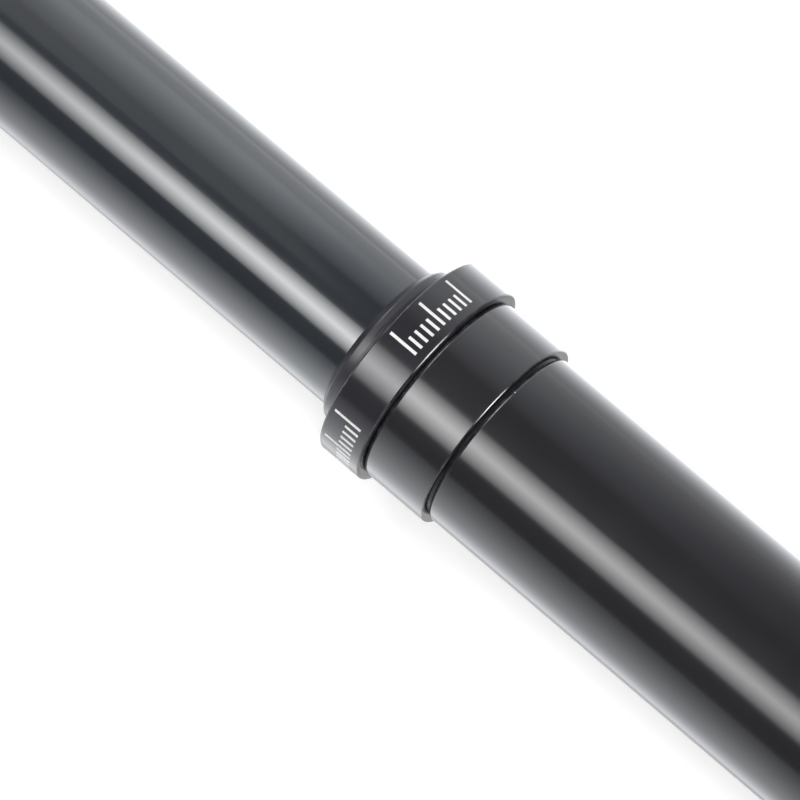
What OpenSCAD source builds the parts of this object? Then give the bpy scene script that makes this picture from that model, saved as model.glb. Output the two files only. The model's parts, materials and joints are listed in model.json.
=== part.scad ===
// Dropper seatpost, drawn with the saddle end fully raised.
// Z runs up along the post and X points to the front of the bicycle. The origin lies on the axis,
// at the top of the plain tube wall that the frame's seat tube clamps.

/* [Post] */
// Diameter of the outer tube that the frame clamps
post_d = 31.6; // [30.9:0.1:31.8]
// Height that the saddle can drop
travel = 125; // [75:5:150]
// Length of stanchion inside the outer tube at full height
overlap_len = 62; // [60:1:90]
// Room under the dropped stanchion for the base cap and the bumper
base_room = 20; // [17:0.5:30]
// Diameter of the stanchion
stanchion_d = 26; // [25.6:0.1:26.2]
// Wall of the stanchion
stanchion_wall = 2; // [1.8:0.1:2.3]
// Radial space between the stanchion and the outer tube
guide_space = 1.1; // [1:0.05:1.2]

/* [Collar] */
// Height of the stop sleeve over the outer tube
sleeve_step = 1.05; // [0.9:0.05:1.6]
// Length of the stop sleeve
sleeve_len = 11.9; // [10.5:0.05:14]
// Height of the seal collar over the stop sleeve
collar_step = 1.35; // [1:0.05:2]
// Length of the seal collar's band
collar_len = 7.85; // [7:0.05:10]
// Gap between the tube's shoulder and the stop sleeve
seam_w = 0.3; // [0.2:0.05:0.5]
// Depth of the tube's neck under the stop sleeve
seam_depth = 0.6; // [0.5:0.05:0.7]
// Chamfer on the edges beside the two seams of the collar
band_edge = 0.4; // [0.3:0.05:0.45]
// Chamfer on the other turned edges
edge = 0.25; // [0.15:0.05:0.35]
// Height of the wiper lip above the seal collar
lip_h = 3.6; // [3:0.1:4.5]
// Height of the lip's pointed front
lip_front_h = 1; // [0.8:0.1:1.4]
// Radial size of the lip's pointed front
lip_front_w = 1.3; // [0.8:0.1:1.5]
// Radial size of the whole lip
lip_w = 2.6; // [2:0.1:2.9]
// Radial size of the wiper's pressed body
wiper_w = 3.2; // [3:0.1:3.4]
// Length of the wiper's pressed body
wiper_len = 5.4; // [4.5:0.1:5.6]
// Radial size of the seal under the wiper
seal_w = 1.95; // [1.6:0.05:2.1]
// Thickness of the O-ring on the collar's spigot
collar_ring_d = 0.6; // [0.4:0.05:0.7]

/* [Guides] */
// Length of the upper bushing
bushing_len = 20; // [14:0.5:24]
// Length of the lower bushing
low_bushing_len = 12; // [8:0.5:14]
// Depth of the lower bushing's groove in the stanchion
low_bushing_depth = 0.5; // [0.3:0.05:0.7]
// Width of the slit in the two bushings
bushing_slit = 2; // [1:0.5:3]
// Diameter of the guide keys
key_d = 2.5; // [2.2:0.1:2.6]
// Length of the guide keys
key_len = 11.5; // [8:0.5:14]
// Number of guide keys
key_count = 3; // [2:1:4]
// Radial width of the elastic ring on the base cap
bumper_w = 2.7; // [2:0.1:3]

/* [Gas cartridge] */
// Outer diameter of the cartridge
cartridge_d = 20; // [19:0.1:21]
// Wall of the cartridge
cartridge_wall = 1.4; // [1.2:0.1:1.6]
// Diameter of the piston rod
rod_d = 8; // [7:0.5:9]
// Diameter of the release pin inside the rod
pin_d = 3; // [2.5:0.1:3.4]
// Diameter of the valve chamber at the rod's upper end
chamber_d = 5.2; // [4.8:0.1:5.6]
// Length of the piston
piston_len = 10; // [8:0.5:12]
// Length of the gland that guides the rod
gland_len = 12; // [10:0.5:14]
// Length of the floating piston
floater_len = 9; // [7:0.5:12]
// Free oil length between gland and piston at full height
oil_gap = 6; // [4:0.5:10]
// Length of the cartridge's upper plug inside the tube
plug_len = 12; // [11:0.5:16]
// Diameter of the screw that holds the cartridge
cartridge_screw_d = 6; // [5:0.5:6]
// Thickness of the rings and seals inside the cartridge
inner_ring_t = 2.4; // [2:0.1:3]
// Radial size of the rings and seals inside the cartridge
inner_ring_w = 1.6; // [1.2:0.1:1.8]

/* [Base and cable lever] */
// Length of the base cap inside the outer tube
cap_len = 12; // [9:0.5:14]
// Thickness of the base cap's rim below the tube
cap_rim = 2.5; // [2:0.1:4]
// Width across the flats of the rod nut
rod_nut_af = 11; // [10.5:0.1:11.4]
// Height of the rod nut
rod_nut_h = 4; // [3:0.5:5]
// Thickness of the bracket's plate and cheeks
bracket_t = 2.4; // [2:0.1:2.8]
// Width between the bracket's cheeks
cheek_gap = 13.2; // [13:0.1:13.6]
// Distance of the lever's pivot from the axis
pivot_x = 5.5; // [5:0.1:6]
// Distance of the cable from the axis
cable_x = 10.5; // [10:0.1:10.8]
// Diameter of the pivot pin
pivot_d = 3; // [2.5:0.1:3.4]
// Radius of the lever's nose under the release pin
nose_r = 2; // [1.6:0.1:2.2]
// Radius of the lever's cable end
cable_end_r = 3.2; // [2.9:0.1:3.4]
// Diameter of the barrel that grips the cable
barrel_d = 4.2; // [3.8:0.1:4.4]
// Width of the lever at its cable end
lever_w = 7.2; // [6.4:0.2:8]
// Height between the pivot and the housing stop
stop_drop = 12; // [11.5:0.1:14]
// Thickness of the bridge that holds the housing stop
bridge_t = 5; // [4:0.5:6]
// Diameter of the socket for the cable housing
housing_d = 5.2; // [5.1:0.05:5.3]
// Depth of the socket for the cable housing
housing_depth = 6.5; // [5:0.5:7]
// Diameter of the hole for the inner cable
cable_hole_d = 1.8; // [1.6:0.1:2.2]
// Diameter of the bracket screws
small_screw_d = 3; // [2.5:0.5:3]
// Wire of the return spring
spring_wire_d = 0.7; // [0.5:0.05:0.8]
// Diameter of the return spring to the middle of its wire
spring_d = 4.6; // [4.2:0.1:5]
// Turns of the return spring
spring_turns = 5; // [4:1:5]

/* [Head] */
// Clear height between the dropped head and the wiper lip
head_clear = 4; // [2:0.1:8]
// Depth of the head's socket for the stanchion
socket_depth = 20; // [18:0.5:28]
// Wall of the head's neck around the stanchion
neck_wall = 2.6; // [2.2:0.1:2.7]
// Thickness of the web between socket and cradle seat
web_t = 8.5; // [8:0.1:12]
// Width of the head across the bicycle
head_w = 26; // [22:0.5:27]
// Length of the head's cradle seat
seat_len = 30.6; // [29:0.1:31]
// Thickness of the two bolt ears
ear_t = 7; // [5:0.5:7.5]
// Width of the two bolt ears
ear_w = 14; // [12:0.5:16]
// Height between the rails and the top of the ears
ear_drop = 12.3; // [12:0.1:13]

/* [Saddle clamp] */
// Diameter of the saddle rails
rail_d = 7; // [6.8:0.1:7.2]
// Distance between the saddle rails
rail_spacing = 44; // [42:0.5:46]
// Length of the rail channels
clamp_len = 36; // [30:1:38]
// Wall of the rail channels
channel_wall = 3.2; // [2.6:0.1:3.6]
// Radius of the cradle's turning face
cradle_r = 19.5; // [19:0.1:20]
// Length of the cradle's turning face
cradle_len = 27.2; // [24:0.2:27.6]
// Gap between the two halves of the clamp
split_gap = 1.2; // [0.8:0.1:1.6]
// Greatest tilt of the clamp each way
tilt_max = 10; // [6:1:10]
// Distance between the barrel nuts
nut_spacing = 42; // [41.6:0.1:43]
// Diameter of the barrel nuts
nut_d = 10; // [9:0.1:10.4]
// Length of the barrel nuts
nut_len = 15; // [13:0.5:15.6]
// Height of the barrel nuts and of the tilt axis over the rails
nut_rise = 9; // [8.6:0.1:9.6]
// Width of the clamp's spine
spine_w = 16; // [15.8:0.1:18]
// Thickness of the upper clamp between the nuts
spine_t = 5.5; // [4.8:0.1:6]
// Diameter of the clamp bolts
bolt_d = 5; // [4:0.5:5]
// Diameter of the bolt heads
bolt_head_d = 8.5; // [8:0.1:8.6]
// Height of the bolt heads
bolt_head_h = 5; // [4:0.5:6]
// Thickness of the bolt washers
washer_t = 1.6; // [1:0.1:2]

/* [Fits] */
// Radial gap of pieces that slide
slide_gap = 0.05; // [0.03:0.01:0.08]
// Radial gap of pieces that are pressed, bonded or screwed in
seat_gap = 0.03; // [0.01:0.01:0.05]
// Gap between the cradle and its seat in the head
turn_gap = 0.15; // [0.1:0.01:0.2]
// Radial gap around bolts, screws and nuts
bolt_gap = 0.45; // [0.4:0.01:0.6]
// Gap at the end stops
stop_gap = 0.4; // [0.2:0.05:0.6]

/* [Hidden] */
$fn = 96;
past = 1;

// Radii of the tubes
post_r = post_d / 2;
stanchion_r = stanchion_d / 2;
stanchion_bore_r = stanchion_r - stanchion_wall;
bore_r = stanchion_r + guide_space;
slide_r = stanchion_r + slide_gap;

// Collar, from the origin upwards
sleeve_r = post_r + sleeve_step;
collar_r = sleeve_r + collar_step;
tube_neck_r = post_r - seam_depth;
sleeve_z = band_edge + seam_w;
sleeve_top_z = sleeve_z + sleeve_len;
collar_z = sleeve_top_z;
collar_top_z = collar_z + collar_len;
lip_z = collar_top_z + lip_h;
tube_top_z = sleeve_z + sleeve_len * 0.45;
spigot_z = tube_top_z + 0.2;
bushing_top_z = sleeve_top_z - 1.6;
bushing_z = bushing_top_z - bushing_len;
seal_z = sleeve_top_z + 0.2;
wiper_z = collar_top_z - wiper_len;
seal_pocket_r = stanchion_r + seal_w + slide_gap;
wiper_pocket_r = stanchion_r + wiper_w + slide_gap;
collar_ring_r = tube_neck_r - collar_ring_d / 2;
collar_ring_z = spigot_z + 1.4;

// Stanchion at full height
stanchion_z = -overlap_len;
head_z = lip_z + travel + head_clear;
stanchion_top_z = head_z + socket_depth;
low_bushing_z = stanchion_z + 2;
key_z = low_bushing_z + low_bushing_len + 2;
key_r = key_d / 2;
key_ring_r = stanchion_r + guide_space / 2;
keyway_r = key_r + slide_gap;
keyway_top_z = bushing_z - 1;
sleeve_low_z = key_z + key_len + stop_gap;

// Base of the outer tube
tube_z = stanchion_z - travel - base_room;
cap_top_z = tube_z + cap_len;
cap_z = tube_z - cap_rim;
cap_r = bore_r - seat_gap;
rim_r = post_r - 2 * edge;
bumper_top_z = stanchion_z - travel - stop_gap;
rod_r = rod_d / 2;
rod_hole_r = rod_r + seat_gap;
rod_z = cap_z - rod_nut_h - 1;
rod_flange_t = 2;
pin_r = pin_d / 2;
pin_hole_r = pin_r + slide_gap;
pin_z = rod_z - 3;

// Gas cartridge
cartridge_r = cartridge_d / 2;
cylinder_r = cartridge_r - cartridge_wall;
cylinder_fit_r = cylinder_r - slide_gap;
cartridge_z = stanchion_z + 4;
cartridge_top_z = stanchion_top_z - 3.5;
clip_z = cartridge_z + 0.6;
clip_t = 1.2;
gland_z = clip_z + clip_t;
gland_top_z = gland_z + gland_len;
piston_z = gland_top_z + oil_gap;
rod_top_z = piston_z + piston_len;
chamber_r = chamber_d / 2;
chamber_z = rod_top_z - 6;
poppet_z = chamber_z + 1;
poppet_t = 2;
floater_rate = pow(rod_r / cylinder_r, 2);
floater_z = rod_top_z + travel * (1 - floater_rate) + 4;
plug_z = cartridge_top_z - plug_len;
cartridge_screw_r = cartridge_screw_d / 2;
cartridge_head_r = cartridge_screw_r * 1.5;
cartridge_head_h = 3.2;

// Cable lever
bracket_z = cap_z - bracket_t;
bracket_r = post_r - 0.6;
rod_nut_r = rod_nut_af / 2 / cos(30);
pivot_r = pivot_d / 2;
pivot_z = pin_z - 0.5 - nose_r;
nose_z = pivot_z + 0.3;
hub_r = pivot_r + 2;
cheek_y = cheek_gap / 2;
cheek_out_y = cheek_y + bracket_t;
hub_w = cheek_gap - 0.6;
barrel_r = barrel_d / 2;
boss_z = pivot_z - cable_end_r - 1;
stop_z = pivot_z - stop_drop;
bridge_z = stop_z - bridge_t;
stop_low_z = stop_z - housing_depth - 2;
stop_r = housing_d / 2 + 0.9;
stop_rim_r = stop_r + 0.8;
small_screw_r = small_screw_d / 2;
small_head_r = small_screw_r * 1.8;
small_head_h = 1.8;
bracket_screw_x = -4;
bracket_screw_y = 10.4;
clip_in_r = pivot_r - 0.35;
clip_out_r = pivot_r + 1.4;
pin_clip_t = 0.6;
pin_clip_y = cheek_out_y + 0.1;
pivot_len = 2 * (pin_clip_y + pin_clip_t + 0.7);

// Head and saddle clamp
neck_r = stanchion_r + neck_wall;
web_top_z = stanchion_top_z + web_t;
seat_r = cradle_r + turn_gap;
tilt_z = web_top_z + seat_r;
rail_z = tilt_z - nut_rise;
rail_r = rail_d / 2;
rail_y = rail_spacing / 2;
channel_r = rail_r + channel_wall;
ear_top_z = rail_z - ear_drop;
ear_z = ear_top_z - ear_t;
nut_x = nut_spacing / 2;
nut_r = nut_d / 2;
bolt_r = bolt_d / 2;
bolt_hole_r = bolt_r + bolt_gap;
bolt_x = nut_x * (1 + cos(tilt_max)) / 2;
bolt_head_r = bolt_head_d / 2;
washer_r = bolt_head_r + 0.3;
bolt_seat_z = ear_z - washer_t;
bolt_top_z = tilt_z + nut_r + 1;
ear_end_r = ear_w / 2;
ear_end_x = nut_x + 6 - ear_end_r;
seat_x = seat_len / 2;
tip_z = tilt_z - sqrt(pow(seat_r, 2) - pow(seat_x - 1.5, 2));
yoke_z = head_z + socket_depth / 2;
flare = ear_z - yoke_z;
low_split_z = rail_z - split_gap / 2;
up_split_z = rail_z + split_gap / 2;
cradle_x = cradle_len / 2;
spine_x = nut_x + 6.6;
spine_z = up_split_z + 0.4;
spine_mid_z = up_split_z + spine_t;
slot_half = bolt_hole_r + (tilt_z - spine_z) * sin(tilt_max) + 0.3;

tube_black = [0.16, 0.16, 0.18];
stanchion_black = [0.2, 0.22, 0.24];
rubber_black = [0.1, 0.1, 0.1];
forged_black = [0.18, 0.18, 0.19];
steel_grey = [0.6, 0.6, 0.62];
dark_steel = [0.25, 0.25, 0.26];
alloy_grey = [0.72, 0.73, 0.75];
brass_gold = [0.78, 0.62, 0.3];
polymer_white = [0.85, 0.84, 0.8];
polymer_amber = [0.75, 0.5, 0.2];

// Ring around the post's axis between two heights
module ring(r_in, r_out, z0, z1) {
  rotate_extrude()
    translate([r_in, z0])
      square([r_out - r_in, z1 - z0]);
}

// Round ring with a round section
module round_ring(ring_r, section_r, z) {
  translate([0, 0, z])
    rotate_extrude()
      translate([ring_r, 0])
        circle(r = section_r);
}

// Bar across the bicycle
module cross_bar(r, len, x, z) {
  translate([x, len / 2, z])
    rotate([90, 0, 0])
      cylinder(r = r, h = len);
}

// Bar along the bicycle
module long_bar(r, len, y, z) {
  translate([-len / 2, y, z])
    rotate([0, 90, 0])
      cylinder(r = r, h = len);
}

// Upright bar between two heights
module upright(r, x, y, z0, z1) {
  translate([x, y, z0])
    cylinder(r = r, h = z1 - z0);
}

// Box that is even across the bicycle
module block(x0, x1, half_w, z0, z1) {
  translate([x0, -half_w, z0])
    cube([x1 - x0, 2 * half_w, z1 - z0]);
}

// Side outline, even to front and rear, carried across the bicycle
module side_shape(half, w) {
  points = concat(half, [for (i = [len(half) - 1 : -1 : 0]) [-half[i][0], half[i][1]]]);
  rotate([90, 0, 0])
    linear_extrude(height = w, center = true)
      polygon(points);
}

// Rectangle with round corners
module round_rect(x, y, r) {
  square([x - 2 * r, y], center = true);
  square([x, y - 2 * r], center = true);
  for (sx = [-1, 1], sy = [-1, 1])
    translate([sx * (x / 2 - r), sy * (y / 2 - r)])
      circle(r = r);
}

// Screw with a round socket head below z = 0 and its shank above
module socket_screw(r, len, head_r, head_h) {
  bevel = head_h * 0.1;
  key_r = r * 0.92;
  difference() {
    rotate_extrude()
      polygon([
        [0, -head_h], [head_r - bevel, -head_h], [head_r, bevel - head_h], [head_r, 0],
        [r, 0], [r, len - bevel], [r - bevel, len], [0, len]
      ]);
    translate([0, 0, -head_h - past])
      cylinder(r = key_r, h = head_h * 0.6 + past, $fn = 6);
  }
}

// Slit that lets a bushing spring open
module slit(z0, z1) {
  translate([0, -bushing_slit / 2, z0 - past])
    cube([post_r, bushing_slit, z1 - z0 + 2 * past]);
}

// Bars at the places of the guide keys
module key_bars(r, z0, z1) {
  for (i = [0 : key_count - 1])
    rotate([0, 0, 360 * i / key_count])
      upright(r, key_ring_r, 0, z0, z1);
}

// Lower tube with a turned neck and inner keyways
module outer_tube() {
  color(tube_black)
    difference() {
      rotate_extrude()
        polygon([
          [bore_r, tube_z], [post_r - edge, tube_z], [post_r, tube_z + edge], [post_r, 0],
          [post_r - band_edge, band_edge], [tube_neck_r, band_edge], [tube_neck_r, tube_top_z],
          [bore_r, tube_top_z]
        ]);
      key_bars(keyway_r, tube_z - past, keyway_top_z);
    }
}

// Second band of the collar, screwed on the tube's neck
module stop_sleeve() {
  in_r = tube_neck_r + seat_gap;
  color(tube_black)
    rotate_extrude()
      polygon([
        [in_r, sleeve_z], [sleeve_r - band_edge, sleeve_z], [sleeve_r, sleeve_z + band_edge],
        [sleeve_r, sleeve_top_z - band_edge], [sleeve_r - band_edge, sleeve_top_z], [in_r, sleeve_top_z]
      ]);
}

// First band of the collar, with its spigot and the pockets for the seals
module seal_collar() {
  groove_r = tube_neck_r - collar_ring_d;
  groove_z = collar_ring_d * 0.6;
  color(tube_black)
    rotate_extrude()
      polygon([
        [bore_r, spigot_z], [tube_neck_r, spigot_z], [tube_neck_r, collar_ring_z - groove_z],
        [groove_r, collar_ring_z - groove_z], [groove_r, collar_ring_z + groove_z],
        [tube_neck_r, collar_ring_z + groove_z], [tube_neck_r, collar_z],
        [collar_r - band_edge, collar_z], [collar_r, collar_z + band_edge], [collar_r, collar_top_z - edge],
        [collar_r - edge, collar_top_z], [wiper_pocket_r, collar_top_z], [wiper_pocket_r, wiper_z],
        [seal_pocket_r, wiper_z], [seal_pocket_r, seal_z], [slide_r + stop_gap, seal_z],
        [slide_r + stop_gap, bushing_top_z], [bore_r, bushing_top_z]
      ]);
}

// Rubber wiper, pressed in the collar, with its lip on the stanchion
module wiper_seal() {
  body_r = wiper_pocket_r - seat_gap;
  lip_r = stanchion_r + lip_w;
  front_r = stanchion_r + lip_front_w;
  relief_r = slide_r + 0.4;
  flare_r = front_r + (lip_r - front_r) / 4;
  front_z = lip_z - lip_front_h;
  waist_z = front_z - lip_front_h;
  color(rubber_black)
    rotate_extrude()
      polygon([
        [relief_r, wiper_z], [body_r, wiper_z], [body_r, collar_top_z], [lip_r, collar_top_z],
        [flare_r, (collar_top_z + front_z) / 2], [front_r, front_z],
        [slide_r + 0.1, lip_z], [slide_r, lip_z - 0.1], [slide_r, waist_z],
        [relief_r, waist_z - 0.8]
      ]);
}

// Lip seal under the wiper
module stanchion_seal() {
  out_r = seal_pocket_r - seat_gap;
  mid_r = (slide_r + out_r) / 2;
  color(rubber_black)
    rotate_extrude()
      polygon([
        [slide_r, seal_z], [mid_r - 0.3, seal_z], [mid_r, seal_z + 1], [mid_r + 0.3, seal_z],
        [out_r, seal_z], [out_r, wiper_z], [slide_r + 0.2, wiper_z], [slide_r, wiper_z - 0.4]
      ]);
}

// O-ring on the collar's spigot
module collar_o_ring() {
  color(rubber_black)
    round_ring(collar_ring_r, collar_ring_d / 2, collar_ring_z);
}

// Split guide bushing in the collar
module upper_bushing() {
  color(polymer_amber)
    difference() {
      ring(slide_r, bore_r - seat_gap, bushing_z, bushing_top_z);
      slit(bushing_z, bushing_top_z);
    }
}

// Spacer that stops the guide keys at full height
module top_out_sleeve() {
  color(polymer_white)
    ring(slide_r + slide_gap, bore_r - seat_gap, sleeve_low_z, bushing_z);
}

// Plug in the lower end of the outer tube
module base_cap() {
  color(tube_black)
    difference() {
      rotate_extrude()
        polygon([
          [rod_hole_r, cap_z], [rim_r - edge, cap_z], [rim_r, cap_z + edge], [rim_r, tube_z],
          [cap_r, tube_z], [cap_r, cap_top_z - edge], [cap_r - edge, cap_top_z],
          [rod_hole_r, cap_top_z]
        ]);
      for (side = [-1, 1])
        upright(small_screw_r + seat_gap, bracket_screw_x, side * bracket_screw_y, cap_z - past, cap_z + 7);
    }
}

// Elastic ring that meets the dropped stanchion
module bottom_out_bumper() {
  color(rubber_black)
    ring(stanchion_r - bumper_w, stanchion_r, cap_top_z, bumper_top_z);
}

// Hollow rod, fixed in the base cap
module piston_rod() {
  color(steel_grey)
    rotate_extrude()
      polygon([
        [pin_hole_r, rod_z], [rod_r - edge, rod_z], [rod_r, rod_z + edge], [rod_r, cap_top_z],
        [rod_r + 2, cap_top_z], [rod_r + 2, cap_top_z + rod_flange_t], [rod_r, cap_top_z + rod_flange_t],
        [rod_r, rod_top_z], [chamber_r, rod_top_z], [chamber_r, chamber_z], [pin_hole_r, chamber_z]
      ]);
}

// Piston on the upper end of the rod
module piston() {
  groove_r = cylinder_fit_r - inner_ring_w;
  mid_z = (piston_z + rod_top_z) / 2;
  half = inner_ring_t / 2;
  color(alloy_grey)
    rotate_extrude()
      polygon([
        [rod_hole_r, piston_z], [cylinder_fit_r - edge, piston_z], [cylinder_fit_r - edge, mid_z - half],
        [groove_r, mid_z - half], [groove_r, mid_z + half], [cylinder_fit_r - edge, mid_z + half],
        [cylinder_fit_r - edge, rod_top_z], [rod_hole_r, rod_top_z]
      ]);
}

// Glide ring of the piston
module piston_band() {
  mid_z = (piston_z + rod_top_z) / 2;
  half = inner_ring_t / 2 - seat_gap;
  color(polymer_white)
    ring(cylinder_fit_r - inner_ring_w + seat_gap, cylinder_fit_r, mid_z - half, mid_z + half);
}

// Nut that locks the rod under the base cap
module rod_nut() {
  color(steel_grey)
    difference() {
      translate([0, 0, cap_z - rod_nut_h])
        cylinder(r = rod_nut_r, h = rod_nut_h, $fn = 6);
      upright(rod_hole_r, 0, 0, cap_z - rod_nut_h - past, cap_z + past);
    }
}

// One cheek of the lever bracket, as a side outline
module cheek_outline() {
  polygon([
    [-1.5, bracket_z + past], [cable_x + 1.5, bracket_z + past], [cable_x + 1.5, pivot_z],
    [cable_x + 3, stop_z + 3], [cable_x + 3, bridge_z], [cable_x - 4.5, bridge_z],
    [cable_x - 5.5, stop_z + 1], [pivot_x - hub_r, pivot_z - 3], [-1.5, pivot_z + 1.5]
  ]);
}

// Clevis below the base cap, with the bridge for the housing stop
module lever_bracket() {
  color(tube_black)
    difference() {
      intersection() {
        union() {
          ring(rod_nut_r + 0.5, bracket_r, bracket_z, cap_z);
          for (side = [-1, 1])
            translate([0, side * (cheek_y + bracket_t / 2) + bracket_t / 2, 0])
              rotate([90, 0, 0])
                linear_extrude(height = bracket_t)
                  cheek_outline();
          block(cable_x - 4.5, cable_x + 5, cheek_y + past, bridge_z, stop_z);
        }
        upright(bracket_r, 0, 0, bridge_z - past, cap_z + past);
      }
      upright(rod_nut_r + 0.5, 0, 0, bracket_z - past, cap_z + past);
      cross_bar(pivot_r + seat_gap, 2 * post_r, pivot_x, pivot_z);
      upright(stop_r + seat_gap, cable_x, 0, bridge_z - past, stop_z + past);
      for (side = [-1, 1])
        upright(small_screw_r + 0.2, bracket_screw_x, side * bracket_screw_y, bracket_z - past, cap_z + past);
    }
}

// Screws that hold the bracket under the base cap
module bracket_screws() {
  color(dark_steel)
    for (side = [-1, 1])
      translate([bracket_screw_x, side * bracket_screw_y, bracket_z])
        socket_screw(small_screw_r, bracket_t + 6, small_head_r, small_head_h);
}

// Pin of the cable lever, grooved for its clips
module pivot_pin() {
  color(steel_grey)
    difference() {
      cross_bar(pivot_r, pivot_len, pivot_x, pivot_z);
      for (side = [-1, 1])
        translate([pivot_x, side * (pin_clip_y + pin_clip_t / 2) + pin_clip_t / 2, pivot_z])
          rotate([90, 0, 0])
            difference() {
              cylinder(r = clip_out_r, h = pin_clip_t);
              translate([0, 0, -past])
                cylinder(r = clip_in_r, h = pin_clip_t + 2 * past);
            }
    }
}

// Retaining clips on the pin's ends
module pivot_clips() {
  t = pin_clip_t - 2 * seat_gap;
  color(dark_steel)
    for (side = [-1, 1])
      translate([pivot_x, side * (pin_clip_y + pin_clip_t / 2) + t / 2, pivot_z])
        rotate([90, 0, 0])
          difference() {
            cylinder(r = clip_out_r, h = t);
            translate([0, 0, -past])
              cylinder(r = clip_in_r + seat_gap, h = t + 2 * past);
            translate([-clip_in_r * 0.8, 0, -past])
              cube([clip_in_r * 1.6, clip_out_r + past, t + 2 * past]);
          }
}

// Turned socket that takes the end of the cable housing
module housing_stop() {
  housing_r = housing_d / 2;
  socket_top_z = stop_low_z + housing_depth;
  color(alloy_grey)
    translate([cable_x, 0, 0])
      rotate_extrude()
        polygon([
          [housing_r, stop_low_z], [stop_rim_r, stop_low_z], [stop_rim_r, bridge_z], [stop_r, bridge_z],
          [stop_r, stop_z], [cable_hole_d / 2, stop_z], [cable_hole_d / 2, socket_top_z],
          [housing_r, socket_top_z]
        ]);
}

// Points along the return spring, eight to a turn
spring_z0 = stop_z + spring_wire_d / 2 + seat_gap;
spring_z1 = boss_z - spring_wire_d / 2 - 0.1;
spring_steps = spring_turns * 8;
spring_path = [
  for (i = [0 : spring_steps])
    let (a = 360 * spring_turns * i / spring_steps)
      [
        cable_x + spring_d / 2 * cos(a),
        spring_d / 2 * sin(a),
        spring_z0 + (spring_z1 - spring_z0) * i / spring_steps
      ]
];
spring_rise = (spring_z1 - spring_z0) / (PI * spring_d * spring_turns);
spring_sides = 6;
spring_self_gap = min([
  for (i = [0 : spring_steps], j = [0 : spring_steps])
    if (j - i > 5)
      norm(spring_path[i] - spring_path[j]) - spring_wire_d
]);
echo(least_spring_gap_mm = spring_self_gap);

// Coil spring under the lever, one unbroken wire
module return_spring() {
  last = spring_steps * spring_sides;
  points = [
    for (i = [0 : spring_steps], k = [0 : spring_sides - 1])
      let (
        a = 360 * spring_turns * i / spring_steps,
        b = 360 * k / spring_sides,
        out = [cos(a), sin(a), 0],
        along = [-sin(a), cos(a), spring_rise] / sqrt(1 + spring_rise * spring_rise)
      )
        spring_path[i] + spring_wire_d / 2 * (out * cos(b) + cross(along, out) * sin(b))
  ];
  walls = [
    for (i = [0 : spring_steps - 1], k = [0 : spring_sides - 1], half = [0, 1])
      let (
        p = i * spring_sides + k,
        q = i * spring_sides + (k + 1) % spring_sides
      )
        half == 0 ? [p, p + spring_sides, q + spring_sides] : [p, q + spring_sides, q]
  ];
  caps = [
    for (k = [1 : spring_sides - 2], end = [0, 1])
      end == 0 ? [0, k, k + 1] : [last, last + k + 1, last + k]
  ];
  color(steel_grey)
    polyhedron(points = points, faces = concat(walls, caps));
}

// Sliding inner tube with the bushing's groove and the key pockets
module stanchion_tube() {
  groove_r = stanchion_r - low_bushing_depth;
  groove_top_z = low_bushing_z + low_bushing_len;
  color(stanchion_black)
    difference() {
      rotate_extrude()
        polygon([
          [stanchion_bore_r, stanchion_z], [stanchion_r - edge, stanchion_z],
          [stanchion_r, stanchion_z + edge], [stanchion_r, low_bushing_z], [groove_r, low_bushing_z],
          [groove_r, groove_top_z], [stanchion_r, groove_top_z], [stanchion_r, stanchion_top_z],
          [stanchion_bore_r, stanchion_top_z]
        ]);
      key_bars(key_r + seat_gap, key_z - seat_gap, key_z + key_len + seat_gap);
    }
}

// Forged head: neck, flare, cradle seat and bolt ears
module head() {
  half = [
    [seat_x, yoke_z], [seat_x, ear_z], [spine_x, ear_z], [spine_x, ear_top_z - 1.5],
    [spine_x - 1.5, ear_top_z], [seat_x + 3, ear_top_z], [seat_x, ear_top_z + 4], [seat_x, tip_z]
  ];
  color(forged_black)
    difference() {
      union() {
        rotate_extrude()
          polygon([
            [0, head_z], [neck_r - 1, head_z], [neck_r, head_z + 1], [neck_r, ear_z + 1], [0, ear_z + 1]
          ]);
        intersection() {
          side_shape(half, head_w);
          translate([0, 0, yoke_z - past])
            linear_extrude(height = tip_z - yoke_z + 2 * past) {
              round_rect(seat_len, head_w, 4);
              square([2 * ear_end_x, ear_w], center = true);
              for (side = [-1, 1])
                translate([side * ear_end_x, 0])
                  circle(r = ear_end_r);
            }
          rotate_extrude()
            polygon([
              [0, yoke_z - past], [neck_r - 0.5 - past, yoke_z - past], [neck_r - 0.5 + flare, ear_z],
              [spine_x + past, ear_z], [spine_x + past, tip_z + past], [0, tip_z + past]
            ]);
        }
      }
      upright(stanchion_r + seat_gap, 0, 0, head_z - past, stanchion_top_z);
      cross_bar(seat_r, head_w + 2 * past, 0, tilt_z);
      upright(cartridge_screw_r + 0.2, 0, 0, stanchion_top_z - past, web_top_z);
      upright(cartridge_head_r + 0.2, 0, 0, web_top_z - cartridge_head_h - 0.6, web_top_z + past);
      for (side = [-1, 1]) {
        upright(bolt_r + 0.2, side * bolt_x, 0, ear_z - past, ear_top_z + past);
        upright(washer_r + bolt_gap, side * bolt_x, 0, head_z, ear_z);
      }
    }
}

// Split bushing on the lower end of the stanchion
module lower_bushing() {
  color(polymer_amber)
    difference() {
      ring(
        stanchion_r - low_bushing_depth + seat_gap, bore_r - slide_gap,
        low_bushing_z + seat_gap, low_bushing_z + low_bushing_len - seat_gap
      );
      slit(low_bushing_z, low_bushing_z + low_bushing_len);
    }
}

// Brass keys that stop the stanchion from turning
module guide_keys() {
  color(brass_gold)
    key_bars(key_r, key_z, key_z + key_len);
}

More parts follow.
